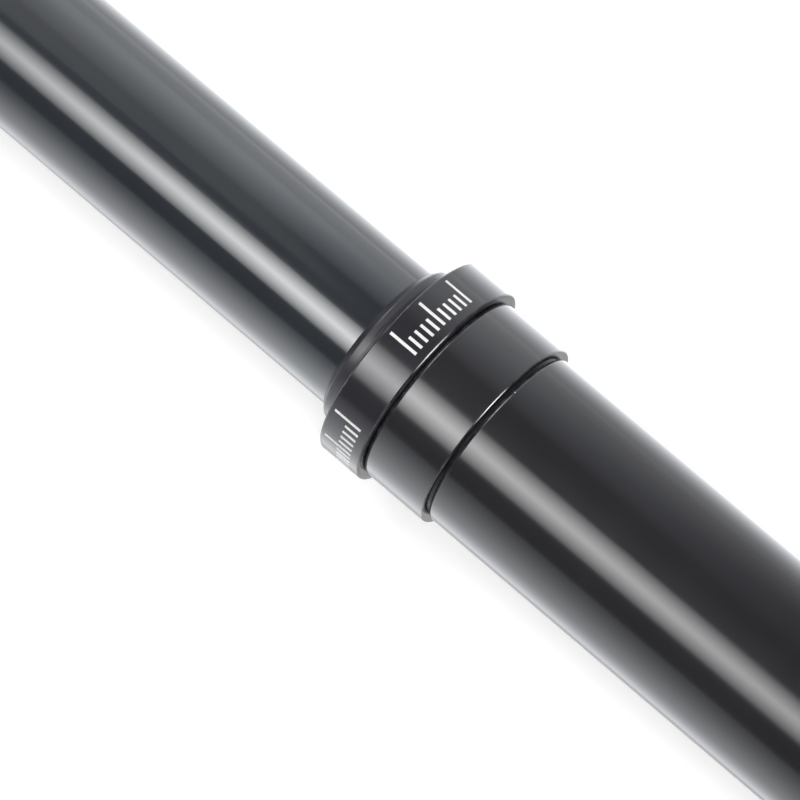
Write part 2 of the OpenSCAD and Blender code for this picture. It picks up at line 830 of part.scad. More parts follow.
// Cylinder of the gas cartridge
module cartridge_tube() {
  clip_groove_r = cylinder_r + 0.5;
  color(alloy_grey)
    rotate_extrude()
      polygon([
        [cylinder_r, cartridge_z], [cartridge_r, cartridge_z], [cartridge_r, cartridge_top_z],
        [cylinder_r, cartridge_top_z], [cylinder_r, clip_z + clip_t], [clip_groove_r, clip_z + clip_t],
        [clip_groove_r, clip_z], [cylinder_r, clip_z]
      ]);
}

// Upper end of the cartridge, screwed to the head
module cartridge_plug() {
  plug_r = cylinder_r - seat_gap;
  hole_r = cartridge_screw_r + seat_gap;
  hole_z = stanchion_top_z - 10.5;
  color(alloy_grey)
    rotate_extrude()
      polygon([
        [0, plug_z], [plug_r - edge, plug_z], [plug_r, plug_z + edge], [plug_r, cartridge_top_z],
        [cartridge_r, cartridge_top_z], [cartridge_r, stanchion_top_z], [hole_r, stanchion_top_z],
        [hole_r, hole_z], [0, hole_z]
      ]);
}

// Screw through the head's web into the cartridge plug
module cartridge_screw() {
  head_floor_z = web_top_z - cartridge_head_h - 0.6;
  color(dark_steel)
    translate([0, 0, head_floor_z])
      mirror([0, 0, 1])
        socket_screw(
          cartridge_screw_r, head_floor_z - stanchion_top_z + 10, cartridge_head_r, cartridge_head_h
        );
}

// Lower end of the cartridge, guiding the rod
module cartridge_gland() {
  gland_r = cylinder_r - seat_gap;
  groove_r = rod_r + slide_gap + inner_ring_w;
  groove_z = (gland_z + gland_top_z - inner_ring_t) / 2;
  color(alloy_grey)
    rotate_extrude()
      polygon([
        [rod_r + slide_gap, gland_z], [gland_r, gland_z], [gland_r, gland_top_z],
        [rod_r + slide_gap, gland_top_z], [rod_r + slide_gap, groove_z + inner_ring_t],
        [groove_r, groove_z + inner_ring_t], [groove_r, groove_z], [rod_r + slide_gap, groove_z]
      ]);
}

// Rod seal in the gland
module gland_seal() {
  mid_z = (gland_z + gland_top_z) / 2;
  half = inner_ring_t / 2 - seat_gap;
  color(rubber_black)
    ring(rod_r + slide_gap, rod_r + slide_gap + inner_ring_w - seat_gap, mid_z - half, mid_z + half);
}

// Retaining ring under the gland
module gland_clip() {
  color(dark_steel)
    difference() {
      ring(cylinder_r - 2, cylinder_r + 0.5 - seat_gap, clip_z + seat_gap, clip_z + clip_t - seat_gap);
      slit(clip_z, clip_z + clip_t);
    }
}

// Clamp bolt from below through one ear
module clamp_bolt(side) {
  color(dark_steel)
    translate([side * bolt_x, 0, bolt_seat_z])
      socket_screw(bolt_r, bolt_top_z - bolt_seat_z, bolt_head_r, bolt_head_h);
}

// Washer between a bolt head and its ear
module bolt_washer(side) {
  color(steel_grey)
    translate([side * bolt_x, 0, 0])
      ring(bolt_r + 0.2, washer_r, bolt_seat_z, ear_z);
}

// Front clamp bolt
module front_bolt() {
  clamp_bolt(1);
}

// Rear clamp bolt
module rear_bolt() {
  clamp_bolt(-1);
}

// Front bolt washer
module front_washer() {
  bolt_washer(1);
}

// Rear bolt washer
module rear_washer() {
  bolt_washer(-1);
}

// Two channel halves around the saddle rails, between two heights
module channels(z0, z1) {
  intersection() {
    for (side = [-1, 1])
      long_bar(channel_r, clamp_len, side * rail_y, rail_z);
    block(-clamp_len, clamp_len, 2 * rail_y, z0, z1);
  }
}

// Space of the two saddle rails
module rails() {
  for (side = [-1, 1])
    long_bar(rail_r, 2 * clamp_len, side * rail_y, rail_z);
}

// Lower rail clamp, turning in the head's seat
module lower_cradle() {
  core_y = rail_y - channel_r + 1.5;
  color(forged_black)
    difference() {
      union() {
        channels(rail_z - 2 * channel_r, low_split_z);
        intersection() {
          cross_bar(cradle_r, 2 * core_y, 0, tilt_z);
          block(-cradle_x, cradle_x, core_y, tilt_z - cradle_r - past, low_split_z);
        }
      }
      rails();
      block(-cradle_x * 0.62, cradle_x * 0.62, core_y * 0.62, low_split_z - 4, low_split_z + past);
    }
}

// Upper rail clamp, with its spine over the two barrel nuts' seats
module upper_clamp() {
  core_y = rail_y - channel_r + 1.5;
  core_x = cradle_x * 0.8;
  half = [
    [spine_x, spine_z], [spine_x, tilt_z - 1.5], [spine_x - 1.5, tilt_z], [nut_x - nut_r - 1.2, tilt_z],
    [nut_x - nut_r - 4.5, spine_mid_z]
  ];
  color(forged_black)
    difference() {
      union() {
        channels(up_split_z, rail_z + 2 * channel_r);
        block(-core_x, core_x, core_y, up_split_z, spine_mid_z);
        intersection() {
          side_shape(half, spine_w + 2 * past);
          translate([0, 0, up_split_z - past])
            linear_extrude(height = tilt_z - up_split_z + 2 * past)
              round_rect(2 * spine_x, spine_w, 5);
        }
      }
      rails();
      for (side = [-1, 1]) {
        cross_bar(nut_r + turn_gap, spine_w + 2 * past, side * nut_x, tilt_z);
        block(
          side * nut_x - slot_half + bolt_hole_r, side * nut_x + slot_half - bolt_hole_r, bolt_hole_r,
          up_split_z - past, tilt_z
        );
        for (end = [-1, 1])
          upright(bolt_hole_r, side * nut_x + end * (slot_half - bolt_hole_r), 0, up_split_z - past, tilt_z);
      }
    }
}

// Barrel nut in the upper clamp, bored for its bolt
module barrel_nut(side) {
  color(steel_grey)
    difference() {
      cross_bar(nut_r, nut_len, side * nut_x, tilt_z);
      upright(bolt_hole_r, side * nut_x, 0, tilt_z - 2 * nut_r, tilt_z + 2 * nut_r);
    }
}

// Front barrel nut
module front_nut() {
  barrel_nut(1);
}

// Rear barrel nut
module rear_nut() {
  barrel_nut(-1);
}

// Piston that divides gas and oil in the cartridge
module floating_piston() {
  groove_r = cylinder_fit_r - inner_ring_w;
  body_r = cylinder_fit_r - edge;
  mid_z = floater_z + floater_len / 2;
  half = inner_ring_t / 2;
  color(alloy_grey)
    rotate_extrude()
      polygon([
        [0, floater_z], [body_r, floater_z], [body_r, mid_z - half], [groove_r, mid_z - half],
        [groove_r, mid_z + half], [body_r, mid_z + half], [body_r, floater_z + floater_len],
        [groove_r - 1, floater_z + floater_len], [groove_r - 1, mid_z], [0, mid_z]
      ]);
}

// Seal of the floating piston
module floating_seal() {
  mid_z = floater_z + floater_len / 2;
  half = inner_ring_t / 2 - seat_gap;
  color(rubber_black)
    ring(cylinder_fit_r - inner_ring_w + seat_gap, cylinder_fit_r, mid_z - half, mid_z + half);
}

// Pin inside the rod that the lever lifts
module release_pin() {
  color(steel_grey)
    rotate_extrude()
      polygon([
        [0, pin_z], [pin_r - edge, pin_z], [pin_r, pin_z + edge], [pin_r, poppet_z], [0, poppet_z]
      ]);
}

// Valve head on the release pin
module valve_poppet() {
  poppet_r = chamber_r - 0.3;
  color(brass_gold)
    rotate_extrude()
      polygon([
        [0, poppet_z], [pin_r, poppet_z], [poppet_r, poppet_z + 0.6], [poppet_r, poppet_z + poppet_t],
        [0, poppet_z + poppet_t]
      ]);
}

// Lever with its nose under the pin and its cable end over the spring
module cable_lever() {
  half_w = lever_w / 2;
  color(alloy_grey)
    difference() {
      union() {
        cross_bar(hub_r, hub_w, pivot_x, pivot_z);
        cross_bar(nose_r, lever_w, 0, nose_z);
        block(0, pivot_x, half_w, pivot_z - nose_r + 0.5, pivot_z + nose_r - 0.6);
        block(pivot_x, cable_x, half_w, pivot_z - hub_r + 0.8, pivot_z + hub_r - 0.8);
        cross_bar(cable_end_r, lever_w, cable_x, pivot_z);
        upright(cable_end_r - 0.1, cable_x, 0, boss_z, pivot_z);
      }
      cross_bar(pivot_r + slide_gap, hub_w + 2 * past, pivot_x, pivot_z);
      cross_bar(barrel_r + slide_gap, lever_w + 2 * past, cable_x, pivot_z);
      block(cable_x, cable_x + 2 * cable_end_r, cable_hole_d / 2, boss_z - past, pivot_z);
      upright(cable_hole_d / 2, cable_x, 0, boss_z - past, pivot_z);
    }
}

// Swivelling barrel that grips the end of the cable
module cable_barrel() {
  screw_hole_r = small_screw_r * 0.8 + seat_gap;
  color(brass_gold)
    difference() {
      cross_bar(barrel_r, lever_w, cable_x, pivot_z);
      upright(cable_hole_d / 2, cable_x, 0, pivot_z - 2 * barrel_r, pivot_z + 2 * barrel_r);
      translate([cable_x, 0, pivot_z])
        rotate([90, 0, 0])
          cylinder(r = screw_hole_r, h = lever_w);
    }
}

// Set screw in the barrel
module barrel_screw() {
  screw_r = small_screw_r * 0.8;
  screw_len = lever_w / 2 - cable_hole_d / 2 - 0.3;
  color(dark_steel)
    translate([cable_x, 0.2 - lever_w / 2, pivot_z])
      rotate([-90, 0, 0])
        difference() {
          cylinder(r = screw_r, h = screw_len);
          translate([0, 0, -past])
            cylinder(r = screw_r * 0.55, h = screw_len / 2 + past, $fn = 6);
        }
}

outer_tube();
stop_sleeve();
seal_collar();
wiper_seal();
stanchion_seal();
collar_o_ring();
upper_bushing();
top_out_sleeve();
base_cap();
bottom_out_bumper();
piston_rod();
piston();
piston_band();
rod_nut();
lever_bracket();
bracket_screws();
pivot_pin();
pivot_clips();
housing_stop();
return_spring();
stanchion_tube();
head();
lower_bushing();
guide_keys();
cartridge_tube();
cartridge_plug();
cartridge_screw();
cartridge_gland();
gland_seal();
gland_clip();
front_bolt();
rear_bolt();
front_washer();
rear_washer();
lower_cradle();
upper_clamp();
front_nut();
rear_nut();
floating_piston();
floating_seal();
release_pin();
valve_poppet();
cable_lever();
cable_barrel();
barrel_screw();
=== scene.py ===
"""Looks of a dropper seatpost: turned and forged pieces, their finishes and a white studio."""
import json
import logging
import math
from collections.abc import Callable, Mapping, Sequence
from dataclasses import dataclass, field
from enum import Enum
from typing import Any

import bmesh
import bpy
import numpy as np
from mathutils import Matrix, Vector


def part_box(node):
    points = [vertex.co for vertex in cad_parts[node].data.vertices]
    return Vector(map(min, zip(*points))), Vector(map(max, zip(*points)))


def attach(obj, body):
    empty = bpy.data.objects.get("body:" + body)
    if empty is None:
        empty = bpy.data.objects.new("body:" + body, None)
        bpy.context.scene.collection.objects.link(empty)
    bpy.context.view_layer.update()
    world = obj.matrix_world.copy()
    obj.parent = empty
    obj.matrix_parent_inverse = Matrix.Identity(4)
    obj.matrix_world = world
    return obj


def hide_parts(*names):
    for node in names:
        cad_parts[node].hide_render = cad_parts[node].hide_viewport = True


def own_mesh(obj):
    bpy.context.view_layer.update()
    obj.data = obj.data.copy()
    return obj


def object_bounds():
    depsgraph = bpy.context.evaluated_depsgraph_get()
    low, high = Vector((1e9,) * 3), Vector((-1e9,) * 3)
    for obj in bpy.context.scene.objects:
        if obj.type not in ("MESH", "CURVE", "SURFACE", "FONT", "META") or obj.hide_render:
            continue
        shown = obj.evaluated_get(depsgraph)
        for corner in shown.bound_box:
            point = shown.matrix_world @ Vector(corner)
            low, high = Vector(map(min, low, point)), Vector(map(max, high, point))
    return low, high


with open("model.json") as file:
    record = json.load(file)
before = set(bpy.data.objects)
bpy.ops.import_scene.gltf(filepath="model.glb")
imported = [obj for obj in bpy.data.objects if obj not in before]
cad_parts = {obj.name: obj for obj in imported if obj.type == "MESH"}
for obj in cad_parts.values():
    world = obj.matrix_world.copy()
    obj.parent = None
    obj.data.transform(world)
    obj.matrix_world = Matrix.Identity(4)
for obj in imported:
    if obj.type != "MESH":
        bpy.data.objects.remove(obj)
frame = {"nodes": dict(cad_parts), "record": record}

LOG = logging.getLogger("seatpost")
CAD_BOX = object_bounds()
MM = 0.001
FULL_TURN = 2.0 * math.pi
SIXTH = FULL_TURN / 6
UPRIGHT = Vector((0.0, 0.0, 1.0))

# Points round a turned piece
FINE = 192
CAP = 160
NUT = 144
MEDIUM = 96
SMALL = 64
THREAD = 48

# Holding points of a straight side, in steps from its start or, where negative, from its end
HOLD_STEPS = (0.0, 1.0, 3.0, -3.0, -1.0)
SHORTEST_HELD = 7.0
MOST_SETBACK = 0.45
SAME_POINT = 1e-6
CREASE = 38.0
EVENING = 0.5

# Parts of a noise's range that a finish uses
CLOUD_RANGE = (0.3, 0.7)
LAY_RANGE = (0.25, 0.75)
WEAR_RANGE = (0.35, 0.7)
LEAST_DOT = 0.3

Colour = tuple[float, float, float]
Cells = tuple[float, float, float]
Corner = tuple[float, float, float]
RadiusRule = Callable[[np.ndarray, np.ndarray, np.ndarray], np.ndarray]


class Axis(Enum):
    """Axis that a turned piece is round about."""

    Y = "y"
    Z = "z"

    def turn(self, points: np.ndarray) -> np.ndarray:
        """Lays points that were made about Z along this axis, by a plain rotation about X.

        Args:
            points: Array whose last dimension holds x, y and z.

        Returns:
            Array of the same shape.
        """
        if self is Axis.Z:
            return points
        return np.stack([points[..., 0], points[..., 2], -points[..., 1]], axis=-1)


class Reach(Enum):
    """What a studio lamp acts on."""

    GLOSS = "reflections alone"
    SPREAD = "diffuse light alone"
    BOTH = "reflections and diffuse light"


@dataclass(frozen=True)
class NodeBox:
    """Box of a CAD node at rest, in millimetres."""

    low: np.ndarray
    high: np.ndarray

    @classmethod
    def of(cls, node: str) -> "NodeBox":
        """Reads the box of the named node from the frame."""
        low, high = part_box(node)
        return cls(np.array(low) / MM, np.array(high) / MM)

    @property
    def centre(self) -> np.ndarray:
        """Middle of the box."""
        return (self.low + self.high) / 2

    @property
    def radius(self) -> float:
        """Largest half width across Z, which is the outer radius of a piece turned about Z."""
        return float(np.max(self.high[:2] - self.low[:2]) / 2)

    @property
    def bottom(self) -> float:
        """Lowest height."""
        return float(self.low[2])

    @property
    def top(self) -> float:
        """Highest height."""
        return float(self.high[2])


def rounded(
    corners: Sequence[Corner], closed: bool = True, steps: int = 6, hold: float = 0.12
) -> np.ndarray:
    """Rounds the corners of an outline.

    A corner P with a setback L becomes the quadratic curve from the point L before P to the point L
    after it, with P as its control point. L is at most MOST_SETBACK of the shorter side. Each long
    straight side also gets two points close to each of its ends, which keep its shading flat.

    Args:
        corners: Rows of radius, height and setback, in millimetres.
        closed: Whether the outline is a ring, or an open line whose ends have no setback.
        steps: Points on each rounded corner.
        hold: Distance of the first holding point from the end of a side.

    Returns:
        Rows of radius and height, in order.
    """
    ring = np.asarray(corners, dtype=float)
    point = ring[:, :2]
    back = np.roll(point, 1, axis=0) - point
    ahead = np.roll(point, -1, axis=0) - point
    back_length = np.linalg.norm(back, axis=1)
    ahead_length = np.linalg.norm(ahead, axis=1)
    setback = np.minimum(ring[:, 2], MOST_SETBACK * np.minimum(back_length, ahead_length))[:, None]
    start = (point + back / back_length[:, None] * setback)[:, None]
    end = (point + ahead / ahead_length[:, None] * setback)[:, None]
    t = np.linspace(0.0, 1.0, steps)[None, :, None]
    curve = (1 - t) ** 2 * start + 2 * t * (1 - t) * point[:, None] + t**2 * end
    path = curve.reshape(-1, 2)
    path = path[np.linalg.norm(path - np.roll(path, 1, axis=0), axis=1) > SAME_POINT]
    side = np.roll(path, -1, axis=0) - path
    length = np.linalg.norm(side, axis=1)[:, None, None]
    ends = np.minimum(hold * np.array(HOLD_STEPS)[None, :, None], length)
    held = path[:, None] + side[:, None] / length * (ends + length * (ends < 0))
    wanted = (length[..., 0] > SHORTEST_HELD * hold) | (np.arange(len(HOLD_STEPS))[None, :] == 0)
    wanted[-1, 1:] &= closed
    return held[wanted]


@dataclass(frozen=True)
class Surface:
    """Points in millimetres and the four-sided faces between them."""

    points: np.ndarray
    faces: np.ndarray

    @classmethod
    def grid(cls, points: np.ndarray, close_rows: bool) -> "Surface":
        """Joins a grid of points, whose last column meets the first, with faces.

        Args:
            points: Rows by columns by x, y and z.
            close_rows: Whether the last row meets the first.

        Returns:
            The surface.
        """
        rows, columns = points.shape[:2]
        joined = rows if close_rows else rows - 1
        i, j = np.meshgrid(np.arange(joined), np.arange(columns), indexing="ij")
        i_next, j_next = (i + 1) % rows, (j + 1) % columns
        here, ahead = i * columns, i_next * columns
        quads = np.stack([here + j, here + j_next, ahead + j_next, ahead + j], axis=-1)
        return cls(points.reshape(-1, 3), quads.reshape(-1, 4))

    @classmethod
    def turned(
        cls,
        profile: np.ndarray,
        centre: Sequence[float] = (0.0, 0.0, 0.0),
        axis: Axis = Axis.Z,
        steps: int = FINE,
        closed: bool = True,
        rule: RadiusRule | None = None,
    ) -> "Surface":
        """Turns a profile about an axis: the point (r, h) goes to (r cos a, r sin a, h) for each angle a.

        Args:
            profile: Rows of radius and height.
            centre: Point that the axis runs through, with zero height.
            axis: Axis of the turning.
            steps: Points round the axis.
            closed: Whether the profile is a ring, or an open line from axis to axis.
            rule: Gives the radius from radius, height and angle where the piece isn't round.

        Returns:
            The turned surface.
        """
        angle = np.linspace(0.0, FULL_TURN, steps, endpoint=False)[None, :]
        height = np.repeat(profile[:, 1:], steps, axis=1)
        radius = np.repeat(profile[:, :1], steps, axis=1)
        if rule is not None:
            radius = rule(radius, height, angle)
        points = np.stack([radius * np.cos(angle), radius * np.sin(angle), height], axis=-1)
        return cls.grid(axis.turn(points) + np.asarray(centre), close_rows=closed)

    def __add__(self, other: "Surface") -> "Surface":
        """Puts two surfaces together.

        Args:
            other: The surface to add.

        Returns:
            One surface with both.
        """
        return Surface(
            np.concatenate([self.points, other.points]),
            np.concatenate([self.faces, other.faces + len(self.points)]),
        )

    def mesh(self, name: str, crease: float = CREASE) -> bpy.types.Mesh:
        """Makes a mesh in metres, with its doubles merged and its creases kept sharp.

        Args:
            name: Name of the mesh.
            crease: Angle between faces, in degrees, above which an edge stays sharp.

        Returns:
            The mesh.
        """
        mesh = bpy.data.meshes.new(name)
        count = len(self.faces)
        mesh.vertices.add(len(self.points))
        mesh.vertices.foreach_set("co", (self.points * MM).astype(np.float32).ravel())
        mesh.loops.add(4 * count)
        mesh.loops.foreach_set("vertex_index", self.faces.astype(np.int32).ravel())
        mesh.polygons.add(count)
        mesh.polygons.foreach_set("loop_start", np.arange(0, 4 * count, 4, dtype=np.int32))
        mesh.update(calc_edges=True)
        merge_doubles(mesh)
        mesh.shade_smooth()
        mesh.set_sharp_from_angle(angle=math.radians(crease))
        mark_edges(mesh)
        return mesh


def add_object(name: str, data: bpy.types.ID | None) -> bpy.types.Object:
    """Adds an object with the given data to the scene.

    Args:
        name: Name of the object.
        data: Its mesh, lamp or camera.

    Returns:
        The object.
    """
    made = bpy.data.objects.new(name, data)
    bpy.context.collection.objects.link(made)
    return made


def merge_doubles(mesh: bpy.types.Mesh, distance: float = 1e-7) -> None:
    """Merges points that lie within a distance of each other, which closes poles and seams.

    Args:
        mesh: Mesh to change.
        distance: Largest gap, in metres.
    """
    work = bmesh.new()
    work.from_mesh(mesh)
    bmesh.ops.remove_doubles(work, verts=work.verts, dist=distance)
    work.to_mesh(mesh)
    work.free()
    mesh.update()


def mark_edges(mesh: bpy.types.Mesh, radius: float = 0.6, least: float = 0.12) -> None:
    """Writes how sharply the surface bends outwards into the attribute edge.

    Along an edge from p to q with normals m and n, the bend is (n - m).(q - p) / |q - p|^2. A point
    takes the largest bend of its edges, times the given radius, between 0 and 1.

    Args:
        mesh: Mesh to mark.
        radius: Radius in millimetres at which an edge counts in full.
        least: Share of the full bend below which nothing is marked.
    """
    count = len(mesh.vertices)
    point = np.empty(count * 3, dtype=np.float32)
    normal = np.empty(count * 3, dtype=np.float32)
    ends = np.empty(len(mesh.edges) * 2, dtype=np.int32)
    mesh.vertices.foreach_get("co", point)
    mesh.vertices.foreach_get("normal", normal)
    mesh.edges.foreach_get("vertices", ends)
    point, normal, ends = point.reshape(-1, 3), normal.reshape(-1, 3), ends.reshape(-1, 2)
    step = point[ends[:, 1]] - point[ends[:, 0]]
    turn = normal[ends[:, 1]] - normal[ends[:, 0]]
    bend = np.einsum("ij,ij->i", turn, step) / np.maximum(np.einsum("ij,ij->i", step, step), 1e-14)
    largest = np.zeros(count)
    np.maximum.at(largest, ends.ravel(), np.repeat(bend, 2))
    attribute = mesh.attributes.new("edge", "FLOAT", "POINT")
    share = np.clip((largest * radius * MM - least) / (1.0 - least), 0.0, 1.0)
    attribute.data.foreach_set("value", share.astype(np.float32))


def softened(node: str, cell: float, passes: int) -> bpy.types.Mesh:
    """Rounds the edges of a CAD node's form, as forging and blasting do.

    A merged copy of the node's mesh is cut into even cells, and each point is then moved to the
    middle of its neighbours a number of times, which turns its edges into small radii.

    Args:
        node: Name of the CAD node.
        cell: Cell size in millimetres.
        passes: How often the points are evened out.

    Returns:
        The new mesh, in place.
    """
    mesh = frame["nodes"][node].data.copy()
    merge_doubles(mesh, distance=1e-6)
    work = add_object(f"{node}_work", mesh)
    cut = work.modifiers.new("cells", "REMESH")
    cut.mode = "VOXEL"
    cut.voxel_size = cell * MM
    even = work.modifiers.new("even", "SMOOTH")
    even.factor = EVENING
    even.iterations = passes
    graph = bpy.context.evaluated_depsgraph_get()
    result = bpy.data.meshes.new_from_object(work.evaluated_get(graph))
    bpy.data.objects.remove(work)
    bpy.data.meshes.remove(mesh)
    result.materials.clear()
    result.shade_smooth()
    mark_edges(result)
    return result


class Wires:
    """Adds nodes to a node tree and joins them."""

    def __init__(self, tree: bpy.types.NodeTree) -> None:
        """Keeps the tree that the nodes go into."""
        self.tree = tree

    @classmethod
    def fresh(cls, owner: bpy.types.Material | bpy.types.Light | bpy.types.World) -> "Wires":
        """Empties the node tree of a material, lamp or world and gives its wires.

        Args:
            owner: Material, lamp or world.

        Returns:
            The wires.
        """
        owner.use_nodes = True
        owner.node_tree.nodes.clear()
        return cls(owner.node_tree)

    def join(self, source: bpy.types.NodeSocket, target: bpy.types.NodeSocket) -> None:
        """Links two sockets."""
        self.tree.links.new(source, target)

    def add(
        self, kind: str, inputs: Mapping[str | int, Any] | None = None, **settings: Any
    ) -> bpy.types.Node:
        """Adds a node.

        Args:
            kind: Blender's name of the node type.
            inputs: Values or sockets for the node's inputs, by name or place.
            settings: Properties of the node.

        Returns:
            The node.
        """
        node = self.tree.nodes.new(kind)
        for key, value in settings.items():
            setattr(node, key, value)
        for key, value in (inputs or {}).items():
            if isinstance(value, bpy.types.NodeSocket):
                self.join(value, node.inputs[key])
            else:
                node.inputs[key].default_value = value
        return node

    def math(self, operation: str, *values: Any, clamp: bool = False) -> bpy.types.NodeSocket:
        """Adds a Math node and gives its result."""
        inputs = dict(enumerate(values))
        return self.add("ShaderNodeMath", inputs, operation=operation, use_clamp=clamp).outputs[0]

    def group(self, tree: bpy.types.NodeTree, **inputs: Any) -> bpy.types.NodeSocket:
        """Adds a node group with the given inputs and gives its result."""
        return self.add("ShaderNodeGroup", inputs, node_tree=tree).outputs[0]

    def vector(self, operation: str, first: Any, second: Any) -> bpy.types.NodeSocket:
        """Adds a Vector Math node and gives its first result."""
        return self.add("ShaderNodeVectorMath", {0: first, 1: second}, operation=operation).outputs[0]

    def mix(self, factor: Any, first: Any, second: Any) -> bpy.types.NodeSocket:
        """Adds a colour mix and gives its result."""
        return self.add("ShaderNodeMix", {0: factor, 6: first, 7: second}, data_type="RGBA").outputs[2]

    def spread(
        self, value: Any, low: float, high: float, to_low: Any, to_high: Any
    ) -> bpy.types.NodeSocket:
        """Adds a smooth Map Range from low...high to another range and gives its result."""
        inputs = {0: value, 1: low, 2: high, 3: to_low, 4: to_high}
        return self.add("ShaderNodeMapRange", inputs, interpolation_type="SMOOTHSTEP").outputs[0]

    def place(self) -> bpy.types.NodeSocket:
        """Adds the object's own coordinates."""
        return self.add("ShaderNodeTexCoord").outputs["Object"]


class Effects:
    """Shader node groups that the finishes share, built once."""

    def __init__(self) -> None:
        """Builds the groups."""
        self.marks = self._marks()
        self.wear = self._wear()
        self.specks = self._specks()

    @staticmethod
    def _group(name: str, inputs: Mapping[str, tuple[str, Any]], output: str) -> tuple[Wires, Any, Any]:
        """Starts a group.

        Args:
            name: Name of the group.
            inputs: Socket type and default of each input, by name.
            output: Name of its one output value.

        Returns:
            The wires of the group, its input node and its output node.
        """
        tree = bpy.data.node_groups.new(name, "ShaderNodeTree")
        for label, (kind, value) in inputs.items():
            tree.interface.new_socket(label, in_out="INPUT", socket_type=kind).default_value = value
        tree.interface.new_socket(output, in_out="OUTPUT", socket_type="NodeSocketFloat")
        wires = Wires(tree)
        return wires, wires.add("NodeGroupInput"), wires.add("NodeGroupOutput")

    def _marks(self) -> bpy.types.NodeTree:
        """Noise with its own number of cells per metre along X, Y and Z: clouds, grain or tool marks.

        Returns:
            The group.
        """
        wires, given, result = self._group(
            "tool_marks",
            {"Cells": ("NodeSocketVector", (100.0, 100.0, 100.0)), "Detail": ("NodeSocketFloat", 2.0)},
            "Value",
        )
        where = wires.vector("MULTIPLY", wires.place(), given.outputs["Cells"])
        detail = given.outputs["Detail"]
        noise = wires.add("ShaderNodeTexNoise", {"Vector": where, "Scale": 1.0, "Detail": detail})
        wires.join(noise.outputs[0], result.inputs[0])
        return wires.tree

    def _wear(self) -> bpy.types.NodeTree:
        """Mask of rubbed edges: the edge attribute, broken up by noise.

        Returns:
            The group.
        """
        wires, given, result = self._group(
            "edge_wear",
            {"Amount": ("NodeSocketFloat", 0.5), "Cells": ("NodeSocketFloat", 600.0)},
            "Mask",
        )
        edge = wires.add("ShaderNodeAttribute", attribute_name="edge").outputs["Fac"]
        noise = wires.add(
            "ShaderNodeTexNoise", {"Vector": wires.place(), "Scale": given.outputs["Cells"], "Detail": 3.0}
        )
        broken = wires.math("MULTIPLY", edge, wires.spread(noise.outputs[0], *WEAR_RANGE, 0.0, 1.0))
        mask = wires.math("MULTIPLY", broken, given.outputs["Amount"], clamp=True)
        wires.join(mask, result.inputs[0])
        return wires.tree

    def _specks(self) -> bpy.types.NodeTree:
        """Mask of dust: small dots in a share of the cells of a scattered pattern.

        Returns:
            The group.
        """
        wires, given, result = self._group(
            "dust_specks",
            {
                "Cells": ("NodeSocketFloat", 300.0),
                "Share": ("NodeSocketFloat", 0.1),
                "Size": ("NodeSocketFloat", 0.05),
            },
            "Mask",
        )
        cell = wires.add("ShaderNodeTexVoronoi", {"Vector": wires.place(), "Scale": given.outputs["Cells"]})
        chance = wires.add("ShaderNodeSeparateColor", {0: cell.outputs["Color"]})
        picked = wires.math("LESS_THAN", chance.outputs[0], given.outputs["Share"])
        size = wires.math("MULTIPLY", given.outputs["Size"], wires.math("ADD", chance.outputs[1], LEAST_DOT))
        dot = wires.math("LESS_THAN", cell.outputs["Distance"], size)
        wires.join(wires.math("MULTIPLY", picked, dot), result.inputs[0])
        return wires.tree


